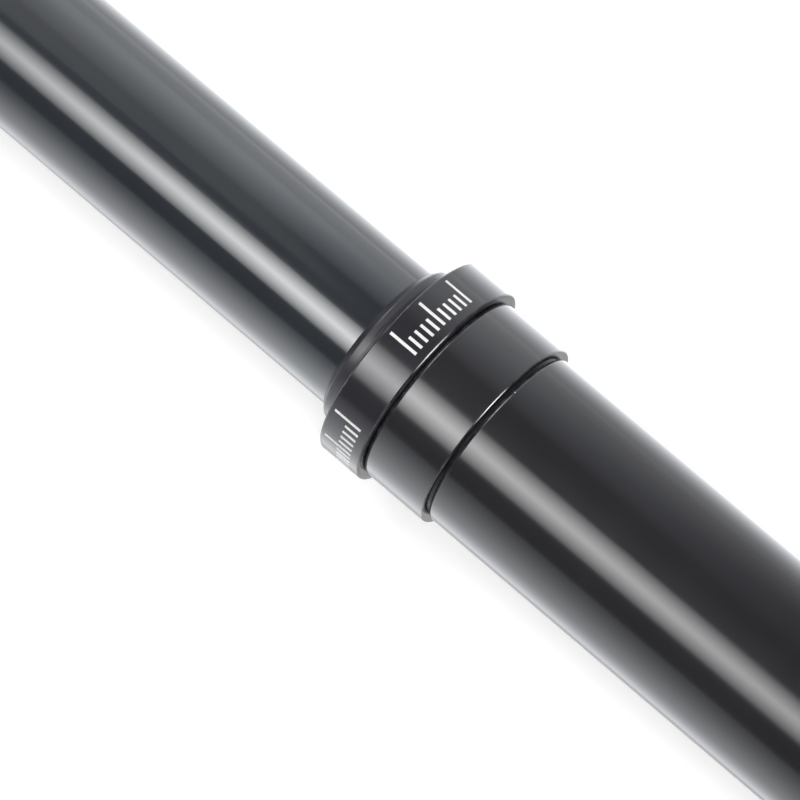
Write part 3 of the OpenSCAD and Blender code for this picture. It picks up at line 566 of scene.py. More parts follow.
@dataclass(frozen=True)
class Finish:
    """A surface finish, from which one material is made.

    Cells are counts per metre along X, Y and Z, and depths are metres.
    """

    colour: Colour
    tint: Colour
    roughness: float
    metallic: float = 0.0
    ior: float = 1.5
    clouds: Cells = (60.0, 60.0, 60.0)
    lay: Cells = (900.0, 900.0, 900.0)
    lay_rough: float = 0.06
    lay_depth: float = 1e-6
    grain: float = 5000.0
    grain_depth: float = 0.0
    wear: float = 0.0
    worn: Colour = (0.55, 0.55, 0.57)
    dust: float = 0.0
    dust_colour: Colour = (0.75, 0.75, 0.75)
    dust_rough: float = 0.9
    sheen: float = 0.0

    def paint(self, wires: Wires, colour: bpy.types.NodeSocket) -> bpy.types.NodeSocket:
        """Gives the colour under wear and dust; a marked finish adds its marks here."""
        return colour

    def material(self, effects: Effects, name: str) -> bpy.types.Material:
        """Makes the material.

        Clouds mix the colour with its tint, the lay of the tool marks sets roughness and bump, worn
        edges show the bare stuff, and dust lies on top.

        Args:
            effects: The shared node groups.
            name: Name of the material.

        Returns:
            The material.
        """
        material = bpy.data.materials.new(name)
        wires = Wires.fresh(material)
        clouds = wires.group(effects.marks, Cells=self.clouds)
        lay = wires.group(effects.marks, Cells=self.lay)
        cloudy = wires.spread(clouds, *CLOUD_RANGE, 0.0, 1.0)
        colour = self.paint(wires, wires.mix(cloudy, (*self.colour, 1.0), (*self.tint, 1.0)))
        rough = wires.spread(
            lay, *LAY_RANGE, self.roughness - self.lay_rough, self.roughness + self.lay_rough
        )
        shader = wires.add(
            "ShaderNodeBsdfPrincipled",
            {"IOR": self.ior, "Metallic": self.metallic, "Sheen Weight": self.sheen},
        )
        if self.wear > 0:
            worn = wires.group(effects.wear, Amount=self.wear)
            colour = wires.mix(worn, colour, (*self.worn, 1.0))
            if self.metallic < 1:
                wires.join(wires.spread(worn, 0.0, 1.0, self.metallic, 1.0), shader.inputs["Metallic"])
        if self.dust > 0:
            specks = wires.group(effects.specks, Share=self.dust)
            colour = wires.mix(specks, colour, (*self.dust_colour, 1.0))
            rough = wires.spread(specks, 0.0, 1.0, rough, self.dust_rough)
        height = wires.math("MULTIPLY", lay, self.lay_depth)
        if self.grain_depth > 0:
            grain = wires.group(effects.marks, Cells=(self.grain,) * 3)
            height = wires.math("ADD", height, wires.math("MULTIPLY", grain, self.grain_depth))
        bump = wires.add("ShaderNodeBump", {"Strength": 1.0, "Distance": 1.0, "Height": height})
        wires.join(colour, shader.inputs["Base Color"])
        wires.join(rough, shader.inputs["Roughness"])
        wires.join(bump.outputs[0], shader.inputs["Normal"])
        wires.add("ShaderNodeOutputMaterial", {"Surface": shader.outputs[0]})
        return material


@dataclass(frozen=True)
class TickedFinish(Finish):
    """A finish with four groups of plain laser-marked ticks round the Z axis, a quarter turn apart.

    Lengths are millimetres.
    """

    radius: float = 18.2
    foot: float = 14.3
    short_tick: float = 2.6
    long_tick: float = 5.2
    pitch: float = 1.3
    tick_width: float = 0.5
    half_arc: float = 6.8
    long_every: int = 5
    mark: Colour = (0.86, 0.855, 0.84)

    def paint(self, wires: Wires, colour: bpy.types.NodeSocket) -> bpy.types.NodeSocket:
        """Adds the ticks to the colour.

        With u the arc length from the middle of the nearest quarter and k the nearest whole number
        to u / pitch, a point is marked where u lies within half a tick's width of k pitches, u is
        inside the group, and the height is between the foot and the top of tick k.

        Args:
            wires: Wires of the material.
            colour: The colour so far.

        Returns:
            The marked colour.
        """
        at = wires.add("ShaderNodeSeparateXYZ", {0: wires.place()})
        angle = wires.math("ARCTAN2", at.outputs[1], at.outputs[0])
        quarter = math.pi / 2
        local = wires.math("WRAP", angle, quarter / 2, -quarter / 2)
        arc = wires.math("MULTIPLY", local, self.radius)
        count = wires.math("DIVIDE", arc, self.pitch)
        tick = wires.math("ROUND", count)
        off = wires.math("ABSOLUTE", wires.math("SUBTRACT", count, tick))
        on_tick = wires.math("LESS_THAN", off, self.tick_width / self.pitch / 2)
        inside = wires.math("LESS_THAN", wires.math("ABSOLUTE", arc), self.half_arc)
        half = self.long_every / 2
        remainder = wires.math("ABSOLUTE", wires.math("WRAP", tick, half, -half))
        is_long = wires.math("LESS_THAN", remainder, 0.5)
        length = wires.math("MULTIPLY_ADD", is_long, self.long_tick - self.short_tick, self.short_tick)
        height = wires.math("SUBTRACT", wires.math("DIVIDE", at.outputs[2], MM), self.foot)
        above = wires.math("GREATER_THAN", height, 0.0)
        below = wires.math("LESS_THAN", height, length)
        in_arc = wires.math("MULTIPLY", on_tick, inside)
        in_height = wires.math("MULTIPLY", above, below)
        return wires.mix(wires.math("MULTIPLY", in_arc, in_height), colour, (*self.mark, 1.0))


COOL: Colour = (0.91, 0.95, 1.0)

LENGTHWISE: Cells = (5200.0, 5200.0, 24.0)
RINGS_Z: Cells = (60.0, 60.0, 9000.0)
RINGS_Y: Cells = (60.0, 9000.0, 60.0)
MOULDED: Cells = (60.0, 60.0, 2500.0)
OXIDE: Cells = (2400.0, 2400.0, 2400.0)

BLACK: Colour = (0.0165, 0.0165, 0.020)
BLACK_TINT: Colour = (0.0195, 0.0193, 0.023)
ANODISED: dict[str, float] = {"lay_rough": 0.02, "lay_depth": 2e-7, "wear": 0.07}
POLYMER: dict[str, Any] = {"lay": RINGS_Z, "lay_depth": 1e-6, "grain": 3500.0, "grain_depth": 3e-6}

FINISHES: dict[str, Finish] = {
    "tube_black": Finish(
        BLACK, BLACK_TINT, 0.138, ior=1.49, lay=LENGTHWISE, dust=0.035, **ANODISED
    ),
    "collar_black": TickedFinish(
        (0.0215, 0.0208, 0.0260), (0.025, 0.0243, 0.0300), 0.14, ior=1.455, lay=RINGS_Z,
        dust=0.02, **ANODISED,
    ),
    "sleeve_black": Finish(
        BLACK, BLACK_TINT, 0.15, ior=1.53, lay=RINGS_Z, dust=0.06, **ANODISED
    ),
    "stanchion_black": Finish(
        (0.0180, 0.0222, 0.0280), (0.0210, 0.0258, 0.0318), 0.122, ior=1.62,
        lay=LENGTHWISE, lay_rough=0.02, lay_depth=1.5e-7, wear=0.07, dust=0.015,
    ),
    "forged_black": Finish(
        (0.016, 0.016, 0.018), (0.021, 0.021, 0.023), 0.4, ior=1.42, lay_rough=0.05,
        lay_depth=2.5e-6, grain=5200.0, grain_depth=4e-6, wear=0.1, dust=0.02,
    ),
    "rubber": Finish(
        (0.014, 0.014, 0.0145), (0.019, 0.019, 0.0195), 0.58, lay=MOULDED, lay_rough=0.08,
        lay_depth=4e-6, grain=6000.0, grain_depth=4e-6, sheen=0.12,
    ),
    "lip_rubber": Finish(
        (0.031, 0.031, 0.038), (0.036, 0.036, 0.043), 0.3, ior=1.42, lay=MOULDED,
        lay_rough=0.04, lay_depth=1e-6, grain=6000.0, grain_depth=1e-6,
    ),
    "bright_steel": Finish(
        (0.46, 0.46, 0.47), (0.39, 0.39, 0.41), 0.3, metallic=1.0, lay=RINGS_Y,
        lay_rough=0.08, lay_depth=6e-7,
    ),
    "dark_steel": Finish(
        (0.055, 0.055, 0.058), (0.08, 0.078, 0.076), 0.36, metallic=0.85, lay=OXIDE,
        lay_rough=0.1, lay_depth=2e-6, wear=0.5, worn=(0.4, 0.39, 0.38),
    ),
    "alloy": Finish(
        (0.52, 0.53, 0.55), (0.44, 0.45, 0.47), 0.42, metallic=1.0, lay=RINGS_Z, lay_rough=0.08,
        lay_depth=1e-6,
    ),
    "brass": Finish(
        (0.7, 0.52, 0.22), (0.58, 0.41, 0.16), 0.28, metallic=1.0, lay=RINGS_Y, lay_rough=0.07,
        lay_depth=7e-7,
    ),
    "bushing_polymer": Finish(
        (0.5, 0.3, 0.1), (0.42, 0.24, 0.075), 0.5, **POLYMER
    ),
    "glide_polymer": Finish(
        (0.72, 0.71, 0.67), (0.64, 0.63, 0.58), 0.45, **POLYMER
    ),
}


class Workshop:
    """Adds finished pieces to the frame and keeps one material for each finish."""

    def __init__(self) -> None:
        """Makes the materials and reads which body and slot each node has."""
        effects = Effects()
        record = frame["record"]
        self.materials = {name: finish.material(effects, name) for name, finish in FINISHES.items()}
        self.slots = {row["node"]: row["material_slot"] for row in record["subparts"]}
        bodies = record["behaviour"]["bodies"]
        self.bodies = {node: body for body, nodes in bodies.items() for node in nodes}
        self.bare = set(frame["nodes"])

    def add(self, node: str, mesh: bpy.types.Mesh, finish: str | None = None) -> bpy.types.Object:
        """Adds a piece that stands for a CAD node and moves with its body.

        Args:
            node: Name of the CAD node.
            mesh: Mesh of the piece, in place.
            finish: Name of its finish, where it isn't the one named as the node's slot.

        Returns:
            The piece.
        """
        piece = add_object(f"{node}_form", mesh)
        mesh.materials.append(self.materials[finish or self.slots[node]])
        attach(piece, self.bodies[node])
        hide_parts(node)
        self.bare.discard(node)
        LOG.info("%s rides on %s, %d faces", piece.name, self.bodies[node], len(mesh.polygons))
        return piece

    def form(
        self, node: str, surface: Surface, finish: str | None = None, crease: float = CREASE
    ) -> bpy.types.Object:
        """Adds a piece made from a surface; its arguments are those of add and of the mesh."""
        return self.add(node, surface.mesh(node, crease), finish)

    def dress_bare(self) -> None:
        """Gives every CAD node that still shows the material of its slot."""
        for node in sorted(self.bare):
            material = self.materials[self.slots[node]]
            for place in frame["nodes"][node].material_slots:
                place.material = material
            LOG.info("%s keeps its form, in %s", node, self.slots[node])


@dataclass
class LowerPost:
    """Outer tube with the two bands of its collar, the wiper and the base cap. Lengths in millimetres."""

    chamfer: float = 0.25
    break_edge: float = 0.05
    shoulder: float = 0.4
    seam_under: float = 0.7
    seam_round: float = 0.04
    facet_height: float = 0.2
    collar_lift: float = 0.08
    crown_depth: float = 0.55
    crown_height: float = 0.75
    crown_points: int = 14
    tube_bore: float = 14.1
    tube_neck: float = 15.2
    sleeve_bore: float = 15.23
    collar_pocket: float = 16.25
    collar_bore: float = 13.45
    bushing_depth: float = 1.6
    lip_bore: float = 13.05
    lip_edge: float = 0.12
    lip_skirt: float = 15.6
    lip_neck: float = 14.2
    lip_front: float = 14.3
    rod_hole: float = 4.03
    cap_plug: float = 14.07
    cap_rim: float = 2.5

    def build(self, shop: Workshop) -> None:
        """Builds and dresses the pieces.

        Args:
            shop: Workshop that takes the pieces.
        """
        shop.form("outer_tube", self.outer_tube())
        shop.form("stop_sleeve", self.stop_sleeve(), "sleeve_black")
        shop.form("seal_collar", self.seal_collar(), "collar_black")
        shop.form("wiper_seal", self.wiper_seal(), "lip_rubber")
        shop.form("base_cap", self.base_cap())

    def crown(self, radius: float, top: float) -> list[Corner]:
        """Gives the rounded upper edge of a band.

        It is a quarter of an ellipse: at the angle t the radius is less by crown_depth (1 - cos t),
        and the height is crown_height (1 - sin t) under the top.

        Args:
            radius: Radius of the band.
            top: Height of its end face.

        Returns:
            Rows of radius, height and no setback, upwards.
        """
        t = np.linspace(0.0, math.pi / 2, self.crown_points)
        r = radius - self.crown_depth * (1 - np.cos(t))
        z = top - self.crown_height * (1 - np.sin(t))
        return [(float(a), float(b), 0.0) for a, b in zip(r, z)]

    def foot_edge(self, radius: float, bottom: float, lift: float) -> list[Corner]:
        """Gives the lower edge of a band: an undercut, then a steep facet half as wide as it is high.

        Args:
            radius: Radius of the band.
            bottom: Height of the band's foot.
            lift: Height of the facet's lower end over the foot.

        Returns:
            The corners, from the inside out.
        """
        e, tall = self.seam_round, self.facet_height
        return [
            (radius - self.seam_under, bottom, e), (radius - tall / 2, bottom + lift, e),
            (radius, bottom + lift + tall, e),
        ]

    def outer_tube(self) -> Surface:
        """Tube wall with a rounded shoulder and a thinner neck above it, turned about Z.

        Returns:
            The tube.
        """
        box, c, e = NodeBox.of("outer_tube"), self.chamfer, self.break_edge
        r = box.radius
        return Surface.turned(rounded([
            (self.tube_bore, box.bottom, e), (r - c, box.bottom, e), (r, box.bottom + c, e),
            *self.crown(r, self.shoulder), (self.tube_neck, self.shoulder, 0),
            (self.tube_neck, box.top, e), (self.tube_bore, box.top, e),
        ]))

    def stop_sleeve(self) -> Surface:
        """Plain band with a faceted foot and a rounded top, turned about Z.

        Returns:
            The sleeve.
        """
        box = NodeBox.of("stop_sleeve")
        r = box.radius
        return Surface.turned(rounded([
            (self.sleeve_bore, box.bottom, 0), *self.foot_edge(r, box.bottom, 0.0),
            *self.crown(r, box.top), (self.sleeve_bore, box.top, 0),
        ]))

    def seal_collar(self) -> Surface:
        """Wide band with a faceted foot, a spigot down into the sleeve and a pocket for the wiper.

        Returns:
            The collar.
        """
        box, c, e = NodeBox.of("seal_collar"), self.chamfer, self.break_edge
        r = box.radius
        foot, floor = NodeBox.of("stop_sleeve").top, NodeBox.of("wiper_seal").bottom
        return Surface.turned(rounded([
            (self.tube_bore, box.bottom, e), (self.tube_neck, box.bottom, e), (self.tube_neck, foot, 0),
            *self.foot_edge(r, foot, self.collar_lift), (r, box.top - c, e),
            (r - c, box.top, e), (self.collar_pocket, box.top, e), (self.collar_pocket, floor, e),
            (self.collar_bore, floor, e), (self.collar_bore, foot - self.bushing_depth, e),
            (self.tube_bore, foot - self.bushing_depth, e),
        ]))

    def wiper_seal(self) -> Surface:
        """Rubber ring with a lip that leans on the stanchion and is a little undercut, turned about Z.

        Heights of the lip's corners are counted from the collar's rim, which the ring stands out of.

        Returns:
            The ring.
        """
        box, e = NodeBox.of("wiper_seal"), self.lip_edge
        rim = NodeBox.of("seal_collar").top
        neck, front, bore = self.lip_neck, self.lip_front, self.lip_bore
        return Surface.turned(rounded([
            (self.collar_bore, box.bottom, 0.2), (box.radius, box.bottom, 0.2), (box.radius, rim - 0.1, 0.1),
            (self.lip_skirt, rim + 0.02, 0.1), (neck, rim + 0.4, 0.2), (neck, rim + 0.9, 0.2),
            (front - 0.03, rim + 1.3, 0.2), (front - 0.01, rim + 2.0, 0.3), (front, rim + 2.6, 0.2),
            (bore + e, box.top, e), (bore, box.top - e, 0.1), (bore, rim + 1.6, 0.3),
            (self.collar_bore, rim + 0.8, 0.3),
        ]))

    def base_cap(self) -> Surface:
        """Rim and plug of the cap in the tube's lower end, turned about Z.

        Returns:
            The cap.
        """
        box, c, e = NodeBox.of("base_cap"), self.chamfer, self.break_edge
        shoulder = box.bottom + self.cap_rim
        return Surface.turned(rounded([
            (self.rod_hole, box.bottom, e), (box.radius - c, box.bottom, e), (box.radius, box.bottom + c, e),
            (box.radius, shoulder, 0), (self.cap_plug, shoulder, 0), (self.cap_plug, box.top - c, e),
            (self.cap_plug - c, box.top, e), (self.rod_hole, box.top, e),
        ]), steps=CAP)


@dataclass
class Stanchion:
    """Sliding tube. Lengths in millimetres."""

    bore: float = 11.0
    chamfer: float = 0.25
    break_edge: float = 0.08
    groove: float = 0.5
    groove_foot: float = 2.0
    groove_height: float = 12.0

    def build(self, shop: Workshop) -> None:
        """Builds and dresses the tube."""
        shop.form("stanchion_tube", self.tube())

    def tube(self) -> Surface:
        """Tube wall with a groove for the lower bushing, turned about Z.

        Returns:
            The tube.
        """
        box, c, e = NodeBox.of("stanchion_tube"), self.chamfer, self.break_edge
        r = box.radius
        groove_low = box.bottom + self.groove_foot
        groove_high = groove_low + self.groove_height
        return Surface.turned(rounded([
            (self.bore, box.bottom, e), (r - c, box.bottom, e), (r, box.bottom + c, e), (r, groove_low, 0),
            (r - self.groove, groove_low, 0), (r - self.groove, groove_high, 0), (r, groove_high, 0),
            (r, box.top, 0), (self.bore, box.top, 0),
        ]))


@dataclass
class SocketScrew:
    """Socket-head screw standing head down on a seat. Lengths in millimetres."""

    head_radius: float
    head_height: float
    shank_radius: float
    length: float
    socket: float
    socket_depth: float
    pitch: float
    plain: float
    ridges: int = 32
    ridge_depth: float = 0.06
    socket_land: float = 1.22
    head_edge: float = 0.35
    head_round: float = 0.3
    grip_foot: float = 0.75
    grip_top: float = 0.25
    seat_edge: float = 0.15
    thread_share: float = 0.3
    rows_per_turn: int = 8
    root: float = 0.5
    tip: float = 0.5
    thread_end: float = 0.6
    slack: float = 0.05

    def surface(self, x: float, y: float, seat: float) -> Surface:
        """Head with a ridged side and a six-sided socket, and a shank with a helical thread.

        The socket's radius at the angle a is its apothem over the cosine of a's distance from the
        middle of its flat. The side's radius falls by a cosine of ridges times a. The thread's
        radius falls by a cosine of height over pitch less a's share of a turn.

        Args:
            x: Place of the axis.
            y: Place of the axis.
            seat: Height of the face that the head bears on.

        Returns:
            The screw.
        """
        centre = (x, y, seat)
        head = Surface.turned(self.head_profile(), centre, closed=False, rule=self.head_rule)
        shank = Surface.turned(
            self.shank_profile(), centre, steps=THREAD, closed=False, rule=self.thread_rule
        )
        return head + shank

    def head_profile(self) -> np.ndarray:
        """Half outline of the head, from the socket's floor out and up to the seat.

        Returns:
            Rows of radius and height.
        """
        r, h, s = self.head_radius, self.head_height, self.socket
        edge, floor = self.head_edge, -h + self.socket_depth
        return rounded([
            (0.0, floor, 0), (s, floor, 0.05), (s, -h, 0), (s * self.socket_land, -h, 0.05),
            (r - edge, -h, self.head_round), (r, -h + edge, self.head_round), (r, -h + self.grip_foot, 0.0),
            (r, -self.grip_top, 0.0), (r - self.seat_edge, 0.0, 0.1), (0.0, 0.0, 0),
        ], closed=False)

    def head_rule(self, radius: np.ndarray, height: np.ndarray, angle: np.ndarray) -> np.ndarray:
        """Radius of the head at each point.

        Args:
            radius: Radius in the profile.
            height: Height in the profile.
            angle: Angle round the axis.

        Returns:
            The radii.
        """
        six = radius / np.cos(np.mod(angle, SIXTH) - SIXTH / 2)
        above_foot = height > -self.head_height + self.grip_foot - self.slack
        side = (radius > self.head_radius - self.slack) & above_foot & (height < -self.grip_top - self.slack)
        ridged = radius - self.ridge_depth * (1 - np.cos(self.ridges * angle)) * side
        return np.where(radius <= self.socket + self.slack, six, ridged)

    def shank_profile(self) -> np.ndarray:
        """Half outline of the shank, from inside the head to its tip, with rows for the thread.

        Returns:
            Rows of radius and height.
        """
        rows = np.arange(self.plain, self.length - self.thread_end, self.pitch / self.rows_per_turn)
        below = [-self.root, -self.root, 0.0, self.plain / 2]
        heights = np.concatenate([below, rows, [self.length - self.tip, self.length]])
        radii = np.full(len(heights), self.shank_radius)
        radii[0] = 0.0
        radii[-1] = self.shank_radius - self.tip
        return np.concatenate([np.stack([radii, heights], axis=1), [[0.0, self.length]]])

    def thread_rule(self, radius: np.ndarray, height: np.ndarray, angle: np.ndarray) -> np.ndarray:
        """Radius of the shank at each point.

        Args:
            radius: Radius in the profile.
            height: Height in the profile.
            angle: Angle round the axis.

        Returns:
            The radii.
        """
        wave = 0.5 - 0.5 * np.cos(FULL_TURN * height / self.pitch - angle)
        begun = np.clip((height - self.plain) / self.pitch, 0.0, 1.0)
        depth = self.thread_share * self.pitch * wave * begun
        return radius - depth * (radius > self.shank_radius - self.slack)


@dataclass
class SaddleHead:
    """Forged head with its rail clamp, bolts, washers and barrel nuts. Lengths in millimetres."""

    cell: float = 0.36
    passes: int = 14
    nut_cell: float = 0.2
    nut_passes: int = 3
    washer_bore: float = 2.7
    washer_round: float = 0.3
    washer_break: float = 0.15
    bolt: SocketScrew = field(
        default_factory=lambda: SocketScrew(
            head_radius=4.25, head_height=5.0, shank_radius=2.5, length=35.9, socket=2.0, socket_depth=3.0,
            pitch=0.8, plain=7.0,
        )
    )

    def build(self, shop: Workshop) -> None:
        """Builds and dresses the pieces.

        Args:
            shop: Workshop that takes the pieces.
        """
        for node in ("head", "lower_cradle", "upper_clamp"):
            shop.add(node, softened(node, self.cell, self.passes))
        for end in ("front", "rear"):
            shop.add(f"{end}_nut", softened(f"{end}_nut", self.nut_cell, self.nut_passes))
            shop.form(f"{end}_washer", self.washer(f"{end}_washer"))
            box = NodeBox.of(f"{end}_bolt")
            seat = box.bottom + self.bolt.head_height
            shop.form(f"{end}_bolt", self.bolt.surface(box.centre[0], 0.0, seat))

    def washer(self, node: str) -> Surface:
        """Flat ring with rounded edges, turned about its bolt's axis.

        Args:
            node: Name of the washer's CAD node.

        Returns:
            The washer.
        """
        box = NodeBox.of(node)
        bore, r, inside, outside = self.washer_bore, box.radius, self.washer_break, self.washer_round
        return Surface.turned(rounded([
            (bore, box.bottom, inside), (r, box.bottom, outside), (r, box.top, outside),
            (bore, box.top, inside),
        ]), (box.centre[0], 0.0, 0.0), steps=MEDIUM)


@dataclass
class ReleaseGear:
    """Rod end, bracket, lever and cable parts below the base cap. Lengths in millimetres."""

    bracket_cell: float = 0.22
    lever_cell: float = 0.16
    small_cell: float = 0.11
    passes: int = 9
    small_passes: int = 3
    rod_radius: float = 4.0
    rod_bore: float = 1.55
    rod_collar: float = 6.0
    rod_collar_height: float = 2.0
    rod_chamfer: float = 0.25
    chamber: float = 2.6
    chamber_depth: float = 6.0
    nut_apothem: float = 5.5
    nut_bore: float = 4.03
    nut_rows: int = 41
    nut_crease: float = 30.0
    cone_slope: float = 0.55
    cone_share: float = 0.985
    pin_tip: float = 0.35
    pin_chamfer: float = 0.3
    pin_round: float = 0.08
    clip_groove: float = 1.1
    clip_width: float = 0.66
    clip_room: float = 0.03
    stop_bore: float = 2.6
    stop_neck: float = 3.5
    stop_round: float = 0.35
    cable_hole: float = 0.9
    stop_shoulder: float = 3.5
    stop_floor: float = 6.5
    wire: float = 0.35
    wire_points: int = 14
    turns: float = 5.0
    coil_points: int = 160
    spring_keep: float = 0.62
    screw: SocketScrew = field(
        default_factory=lambda: SocketScrew(
            head_radius=2.7, head_height=1.8, shank_radius=1.5, length=8.4, socket=1.0, socket_depth=1.1,
            pitch=0.5, plain=2.6, ridges=24,
        )
    )

    def build(self, shop: Workshop) -> None:
        """Builds and dresses the pieces.

        Args:
            shop: Workshop that takes the pieces.
        """
        shop.add("lever_bracket", softened("lever_bracket", self.bracket_cell, self.passes))
        shop.add("cable_lever", softened("cable_lever", self.lever_cell, self.passes))
        for node in ("pivot_clips", "cable_barrel", "barrel_screw"):
            shop.add(node, softened(node, self.small_cell, self.small_passes))
        shop.form("rod_nut", self.rod_nut(), crease=self.nut_crease)
        shop.form("piston_rod", self.rod())
        shop.form("release_pin", self.release_pin())
        shop.form("pivot_pin", self.pivot_pin())
        shop.form("housing_stop", self.housing_stop())
        shop.form("bracket_screws", self.screws())
        spring = shop.form("return_spring", self.spring())
        box = NodeBox.of("return_spring")
        anchor = (box.centre[0] * MM, box.centre[1] * MM, NodeBox.of("housing_stop").top * MM)
        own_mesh(spring)

    def rod_nut(self) -> Surface:
        """Six-sided nut whose corners are cut by cones at both faces.

        The radius at the angle a is the smaller of the six-sided one and the cone's.

        Returns:
            The nut.
        """
        box, a = NodeBox.of("rod_nut"), self.nut_apothem

        def rule(radius: np.ndarray, height: np.ndarray, angle: np.ndarray) -> np.ndarray:
            """Radius of the nut at each point, where the bore keeps its own.

            Args:
                radius: Radius in the profile.
                height: Height in the profile.
                angle: Angle round the axis.

            Returns:
                The radii.
            """
            six = a / np.cos(np.mod(angle, SIXTH) - SIXTH / 2)
            near = np.minimum(height - box.bottom, box.top - height)
            cut = a * self.cone_share + near / self.cone_slope
            return np.where(radius > self.nut_bore, np.minimum(six, cut), radius)

        heights = np.linspace(box.bottom, box.top, self.nut_rows)
        side = np.stack([np.full(len(heights), a), heights], axis=1)
        bore = [[self.nut_bore, box.top], [self.nut_bore, box.bottom]]
        return Surface.turned(np.concatenate([bore, side]), steps=NUT, rule=rule)

    def rod(self) -> Surface:
        """Hollow rod with the collar that rests on the base cap, turned about Z.

        Returns:
            The rod.
        """
        box, r, c = NodeBox.of("piston_rod"), self.rod_radius, self.rod_chamfer
        seat, floor = NodeBox.of("base_cap").top, box.top - self.chamber_depth
        rest = seat + self.rod_collar_height
        return Surface.turned(rounded([
            (self.rod_bore, box.bottom, 0.05), (r - c, box.bottom, 0.05), (r, box.bottom + c, 0.05),
            (r, seat, 0), (self.rod_collar, seat, 0.1), (self.rod_collar, rest, 0.2), (r, rest, 0),
            (r, box.top, 0.1), (self.chamber, box.top, 0.1), (self.chamber, floor, 0),
            (self.rod_bore, floor, 0),
        ]), steps=MEDIUM)

    def release_pin(self) -> Surface:
        """Slim pin with rounded ends, turned about Z.

        Returns:
            The pin.
        """
        box = NodeBox.of("release_pin")
        return Surface.turned(rounded([
            (0, box.bottom, 0), (box.radius, box.bottom, self.pin_tip), (box.radius, box.top, 0.1),
            (0, box.top, 0),
        ], closed=False), steps=SMALL, closed=False)

    def pivot_pin(self) -> Surface:
        """Pin with a groove for a clip near each end, turned about Y.

        Returns:
            The pin.
        """
        box, groove = NodeBox.of("pivot_pin"), self.clip_groove
        r, half = float(box.high[0] - box.low[0]) / 2, float(box.high[1])
        outer = float(NodeBox.of("pivot_clips").high[1]) + self.clip_room
        inner = outer - self.clip_width
        c, e = self.pin_chamfer, self.pin_round
        right = [
            (r, inner, 0), (groove, inner, 0), (groove, outer, 0), (r, outer, 0), (r, half - c, e),
            (r - c, half, e), (0, half, 0),
        ]
        left = [(radius, -height, setback) for radius, height, setback in reversed(right)]
        centre = (box.centre[0], 0.0, box.centre[2])
        return Surface.turned(rounded(left + right, closed=False), centre, Axis.Y, SMALL, closed=False)

    def housing_stop(self) -> Surface:
        """Stepped socket for the end of a cable housing, turned about its own upright axis.

        Returns:
            The socket.
        """
        box = NodeBox.of("housing_stop")
        shoulder, floor = box.bottom + self.stop_shoulder, box.bottom + self.stop_floor
        return Surface.turned(rounded([
            (self.stop_bore, box.bottom, 0.25), (box.radius, box.bottom, self.stop_round),
            (box.radius, shoulder, 0.2), (self.stop_neck, shoulder, 0), (self.stop_neck, box.top, 0.15),
            (self.cable_hole, box.top, 0.2), (self.cable_hole, floor, 0), (self.stop_bore, floor, 0),
        ]), (box.centre[0], 0.0, 0.0), steps=MEDIUM)

    def screws(self) -> Surface:
        """The two screws of the bracket, side by side across Y.

        Returns:
            Both screws.
        """
        box = NodeBox.of("bracket_screws")
        seat = box.bottom + self.screw.head_height
        y = float(box.high[1]) - self.screw.head_radius
        return self.screw.surface(box.centre[0], -y, seat) + self.screw.surface(box.centre[0], y, seat)

    def spring(self) -> Surface:
        """Round wire on a helix: a ring of the wire's radius carried along it, closed at its ends.

        The path is (R cos t, R sin t, rising evenly with t). The ring lies on the outward direction
        and the one that is square to it and to the path.

        Returns:
            The wire.
        """
        box = NodeBox.of("return_spring")
        coil = box.radius - self.wire
        low, high = box.bottom + self.wire, box.top - self.wire
        t = np.concatenate([[0.0], np.linspace(0.0, 1.0, self.coil_points), [1.0]])[:, None]
        size = self.wire * np.concatenate([[0.0], np.ones(self.coil_points), [0.0]])[:, None]
        turn = FULL_TURN * self.turns * t
        rise = (high - low) / (FULL_TURN * self.turns)
        slope = math.atan2(rise, coil)
        ring = np.linspace(0.0, FULL_TURN, self.wire_points, endpoint=False)[None, :]
        out, up = size * np.cos(ring), size * np.sin(ring)
        side = -up * math.sin(slope)
        x = (coil + out) * np.cos(turn) - side * np.sin(turn)
        y = (coil + out) * np.sin(turn) + side * np.cos(turn)
        z = low + (high - low) * t + up * math.cos(slope)
        points = np.stack([x, y, z], axis=-1) + np.array([box.centre[0], 0.0, 0.0])
        return Surface.grid(points[:, ::-1], close_rows=False)


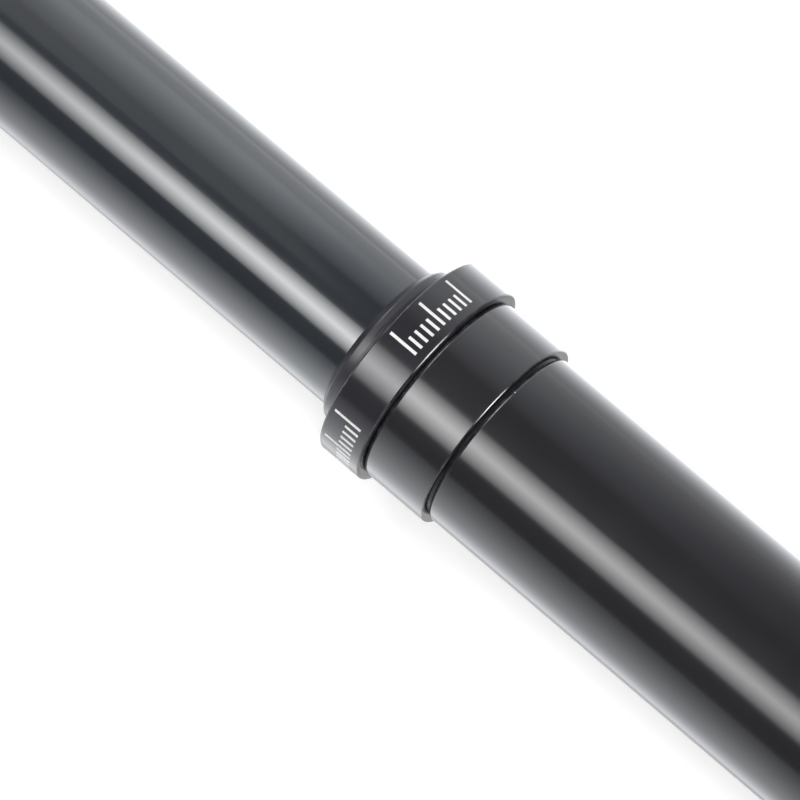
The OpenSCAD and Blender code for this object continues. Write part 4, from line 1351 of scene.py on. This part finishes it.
@dataclass(frozen=True)
class Softbox:
    """A flat studio lamp that faces the collar.

    The bearing is the angle round the post from the camera's side towards its right, the height is
    the angle above the collar, both in degrees, and lengths are metres. Left, right, foot and top
    are the light's levels at the lamp's edges, as shares of the full level, which it has half way
    across and at the crest's share of its height.
    """

    name: str
    bearing: float
    height: float
    distance: float
    wide: float
    tall: float
    radiance: float
    reach: Reach = Reach.GLOSS
    left: float = 1.0
    right: float = 1.0
    foot: float = 1.0
    top: float = 1.0
    crest: float = 0.5
    colour: Colour = (1.0, 1.0, 1.0)

    def place(self, camera_side: float, centre: Vector) -> None:
        """Adds the lamp to the scene.

        Args:
            camera_side: Azimuth of the camera, in degrees.
            centre: Point that the lamp faces.
        """
        turn, rise = math.radians(camera_side + self.bearing), math.radians(self.height)
        out = Vector((math.sin(turn) * math.cos(rise), -math.cos(turn) * math.cos(rise), math.sin(rise)))
        across = Vector((math.cos(turn), math.sin(turn), 0.0))
        up = out.cross(across)
        data = bpy.data.lights.new(self.name, "AREA")
        data.shape = "RECTANGLE"
        data.size, data.size_y = self.wide, self.tall
        data.energy = self.radiance * self.wide * self.tall * math.pi
        data.color = self.colour
        if min(self.left, self.right, self.foot, self.top) < 1.0:
            self.grade(data)
        lamp = add_object(self.name, data)
        turned = Matrix((across, up, out)).transposed().to_4x4()
        lamp.matrix_world = Matrix.Translation(centre + out * self.distance) @ turned
        lamp.visible_camera = False
        lamp.visible_glossy = self.reach is not Reach.SPREAD
        lamp.visible_diffuse = self.reach is not Reach.GLOSS

    def grade(self, data: bpy.types.Light) -> None:
        """Makes the lamp fall off from its middle line to its sides and from its crest to its ends.

        Args:
            data: The lamp's data.
        """
        wires = Wires.fresh(data)
        place = wires.add("ShaderNodeNewGeometry").outputs["Parametric"]
        at = wires.add("ShaderNodeSeparateXYZ", {0: place})
        level = wires.math(
            "MULTIPLY",
            self.slope(wires, at.outputs[0], self.left, 0.5, self.right),
            self.slope(wires, at.outputs[1], self.foot, self.crest, self.top),
        )
        emission = wires.add("ShaderNodeEmission", {"Strength": level})
        wires.add("ShaderNodeOutputLight", {"Surface": emission.outputs[0]})

    @staticmethod
    def slope(
        wires: Wires, value: bpy.types.NodeSocket, start: float, crest: float, end: float
    ) -> bpy.types.NodeSocket:
        """Rises evenly from start at 0 to 1 at the crest, and falls evenly to end at 1.

        Args:
            wires: Wires of the lamp.
            value: Place on the lamp, from 0 to 1.
            start: Level at 0.
            crest: Place of the full level.
            end: Level at 1.

        Returns:
            The level.
        """
        ramp = wires.add("ShaderNodeValToRGB", {0: value})
        stops = ramp.color_ramp.elements
        stops.new(crest).color = (1.0, 1.0, 1.0, 1.0)
        stops[0].color = (start, start, start, 1.0)
        stops[2].color = (end, end, end, 1.0)
        return ramp.outputs[0]


@dataclass
class Studio:
    """Camera, lamps, world, floor and backdrop. Angles in degrees, lengths in metres."""

    camera_side: float = -26.0
    camera_rise: float = -13.0
    camera_roll: float = 49.7
    camera_distance: float = 1.06
    focal: float = 312.0
    sensor: float = 36.0
    aim_right: float = -0.00506
    aim_height: float = 0.01583
    wall_gap: float = 0.038
    wall_half: float = 0.45
    wall_rise: float = 0.25
    wall_glow: float = 0.65
    wall_paper: float = 0.5
    floor_gap: float = 0.001
    floor_half: float = 1.2
    floor_glow: float = 0.7
    floor_paper: float = 0.7
    clip: tuple[float, float] = (0.05, 20.0)
    even_light: float = 0.4
    facing_range: tuple[float, float] = (-0.25, 0.45)
    upward_range: tuple[float, float] = (-0.75, -0.3)
    mirrored_back: float = 0.95
    mirrored_front: float = 0.16
    mirrored_floor: float = 0.25
    softboxes: tuple[Softbox, ...] = (
        Softbox(
            "strip", -23.3, 12.6, 0.8, 0.55, 0.58, 12.5, left=0.14, right=0.16, foot=0.45, top=0.0, crest=0.57
        ),
        Softbox(
            "right_panel", 72.0, 28.0, 0.8, 1.15, 0.76, 2.1, left=0.08, right=0.45, foot=0.0, top=0.0,
            crest=0.31, colour=COOL,
        ),
        Softbox("right_back", 135.0, 12.0, 0.8, 1.0, 0.9, 1.75, left=0.2, colour=COOL),
        Softbox(
            "left_panel", -111.0, 12.0, 0.8, 1.39, 0.9, 1.65, left=0.6, right=0.35, top=0.1, crest=0.52,
            colour=COOL,
        ),
        Softbox("left_back", -140.0, 12.0, 0.8, 0.65, 0.9, 0.8, left=0.1, right=0.2, colour=COOL),
        Softbox("left_low", -112.0, -48.0, 0.8, 1.2, 0.7, 1.2, colour=COOL),
        Softbox("high_front", 26.0, 28.0, 3.0, 2.25, 0.26, 32.0, left=0.2, right=0.3),
        Softbox("low_front", 25.0, -38.0, 0.8, 0.6, 0.25, 30.0, left=0.15, right=0.3),
        Softbox("stanchion_card", 46.0, 32.0, 0.28, 0.35, 0.13, 0.4),
        Softbox("fill", 0.0, -13.0, 1.3, 0.2, 0.2, 40.0, Reach.SPREAD),
        Softbox("overhead", 30.0, 62.0, 1.1, 0.5, 0.5, 1.2, Reach.BOTH),
        Softbox("key", 5.0, 6.0, 1.0, 0.14, 0.3, 26.0, Reach.SPREAD),
    )

    def build(self) -> None:
        """Sets up the studio."""
        bpy.context.scene.view_settings.view_transform = "Standard"
        self.world()
        centre = Vector((0.0, 0.0, self.aim_height))
        for softbox in self.softboxes:
            softbox.place(self.camera_side, centre)
            LOG.info("lamp %s", softbox.name)
        self.camera()
        self.wall()
        self.floor()

    @property
    def towards(self) -> Vector:
        """Level direction from the post to the camera."""
        side = math.radians(self.camera_side)
        return Vector((math.sin(side), -math.cos(side), 0.0))

    @property
    def right(self) -> Vector:
        """Level direction to the camera's right, before it is rolled."""
        side = math.radians(self.camera_side)
        return Vector((math.cos(side), math.sin(side), 0.0))

    def camera(self) -> None:
        """Adds the camera, which looks up at the collar and is rolled so that the post lies aslant."""
        rise, roll = math.radians(self.camera_rise), math.radians(self.camera_roll)
        back = self.towards * math.cos(rise) + UPRIGHT * math.sin(rise)
        up = UPRIGHT * math.cos(rise) - self.towards * math.sin(rise)
        right = self.right
        aim = right * self.aim_right + UPRIGHT * self.aim_height
        rolled_right = right * math.cos(roll) - up * math.sin(roll)
        rolled_up = right * math.sin(roll) + up * math.cos(roll)
        data = bpy.data.cameras.new("camera")
        data.lens, data.sensor_width, data.sensor_fit = self.focal, self.sensor, "HORIZONTAL"
        data.clip_start, data.clip_end = self.clip
        camera = add_object("camera", data)
        turned = Matrix((rolled_right, rolled_up, back)).transposed().to_4x4()
        camera.matrix_world = Matrix.Translation(aim + back * self.camera_distance) @ turned
        bpy.context.scene.camera = camera

    def world(self) -> None:
        """White for the camera, white behind and dark in front for reflections, even light for the rest."""
        world = bpy.data.worlds.new("studio")
        wires = Wires.fresh(world)
        ray = wires.add("ShaderNodeLightPath").outputs
        direction = wires.add("ShaderNodeTexCoord").outputs["Generated"]
        facing = wires.add(
            "ShaderNodeVectorMath", {0: direction, 1: self.towards}, operation="DOT_PRODUCT"
        ).outputs["Value"]
        upward = wires.add("ShaderNodeSeparateXYZ", {0: direction}).outputs[2]
        round_post = wires.spread(facing, *self.facing_range, self.mirrored_back, self.mirrored_front)
        above_floor = wires.spread(upward, *self.upward_range, self.mirrored_floor, 1.0)
        mirrored = wires.math("MULTIPLY", round_post, above_floor)
        shiny = wires.math("MAXIMUM", ray["Is Glossy Ray"], ray["Is Transmission Ray"])
        step = wires.math("SUBTRACT", mirrored, self.even_light)
        unseen = wires.math("ADD", wires.math("MULTIPLY", shiny, step), self.even_light)
        seen = wires.math("MAXIMUM", unseen, ray["Is Camera Ray"])
        background = wires.add("ShaderNodeBackground", {"Color": (1.0, 1.0, 1.0, 1.0), "Strength": seen})
        wires.add("ShaderNodeOutputWorld", {"Surface": background.outputs[0]})
        bpy.context.scene.world = world

    def white(self, name: str, glow: float, paper: float) -> bpy.types.Material:
        """White paper with its own glow, seen from its front alone.

        Args:
            name: Name of the material.
            glow: Strength of the glow.
            paper: Grey of the paper that takes the shadow.

        Returns:
            The material.
        """
        material = bpy.data.materials.new(name)
        wires = Wires.fresh(material)
        emission = wires.add("ShaderNodeEmission", {"Strength": glow})
        diffuse = wires.add("ShaderNodeBsdfDiffuse", {"Color": (paper, paper, paper, 1.0)})
        sheet = wires.add("ShaderNodeAddShader", {0: emission.outputs[0], 1: diffuse.outputs[0]})
        clear = wires.add("ShaderNodeBsdfTransparent")
        behind = wires.add("ShaderNodeNewGeometry").outputs["Backfacing"]
        both = wires.add("ShaderNodeMixShader", {0: behind, 1: sheet.outputs[0], 2: clear.outputs[0]})
        wires.add("ShaderNodeOutputMaterial", {"Surface": both.outputs[0]})
        return material

    def sheet(self, name: str, corners: Sequence[Vector], material: bpy.types.Material) -> None:
        """Adds a flat sheet that only the camera sees.

        Args:
            name: Name of the sheet.
            corners: Its four corners, round its front.
            material: Its material.
        """
        mesh = bpy.data.meshes.new(name)
        mesh.from_pydata([tuple(corner) for corner in corners], [], [(0, 1, 2, 3)])
        mesh.materials.append(material)
        obj = add_object(name, mesh)
        for ray in ("diffuse", "glossy", "transmission", "shadow"):
            setattr(obj, f"visible_{ray}", False)

    def wall(self) -> None:
        """Adds the white wall close behind the post, square to the camera's level direction."""
        middle = -self.towards * self.wall_gap
        across = self.right * self.wall_half
        low, high = UPRIGHT * CAD_BOX[0][2], UPRIGHT * (CAD_BOX[1][2] + self.wall_rise)
        left, right = middle - across, middle + across
        corners = [left + low, right + low, right + high, left + high]
        self.sheet("wall", corners, self.white("wall_white", self.wall_glow, self.wall_paper))

    def floor(self) -> None:
        """Adds the pale floor just below the post."""
        z, half = CAD_BOX[0][2] - self.floor_gap, self.floor_half
        corners = [Vector((x * half, y * half, z)) for x, y in ((-1, -1), (1, -1), (1, 1), (-1, 1))]
        self.sheet("floor", corners, self.white("floor_white", self.floor_glow, self.floor_paper))


def main() -> None:
    """Builds the studio and the sub-assemblies in order, then dresses the rest."""
    logging.basicConfig(level=logging.INFO, format="%(name)s: %(message)s")
    Studio().build()
    shop = Workshop()
    for assembly in (LowerPost(), Stanchion(), SaddleHead(), ReleaseGear()):
        assembly.build(shop)
    shop.dress_bare()


if __name__ == "__main__":
    main()
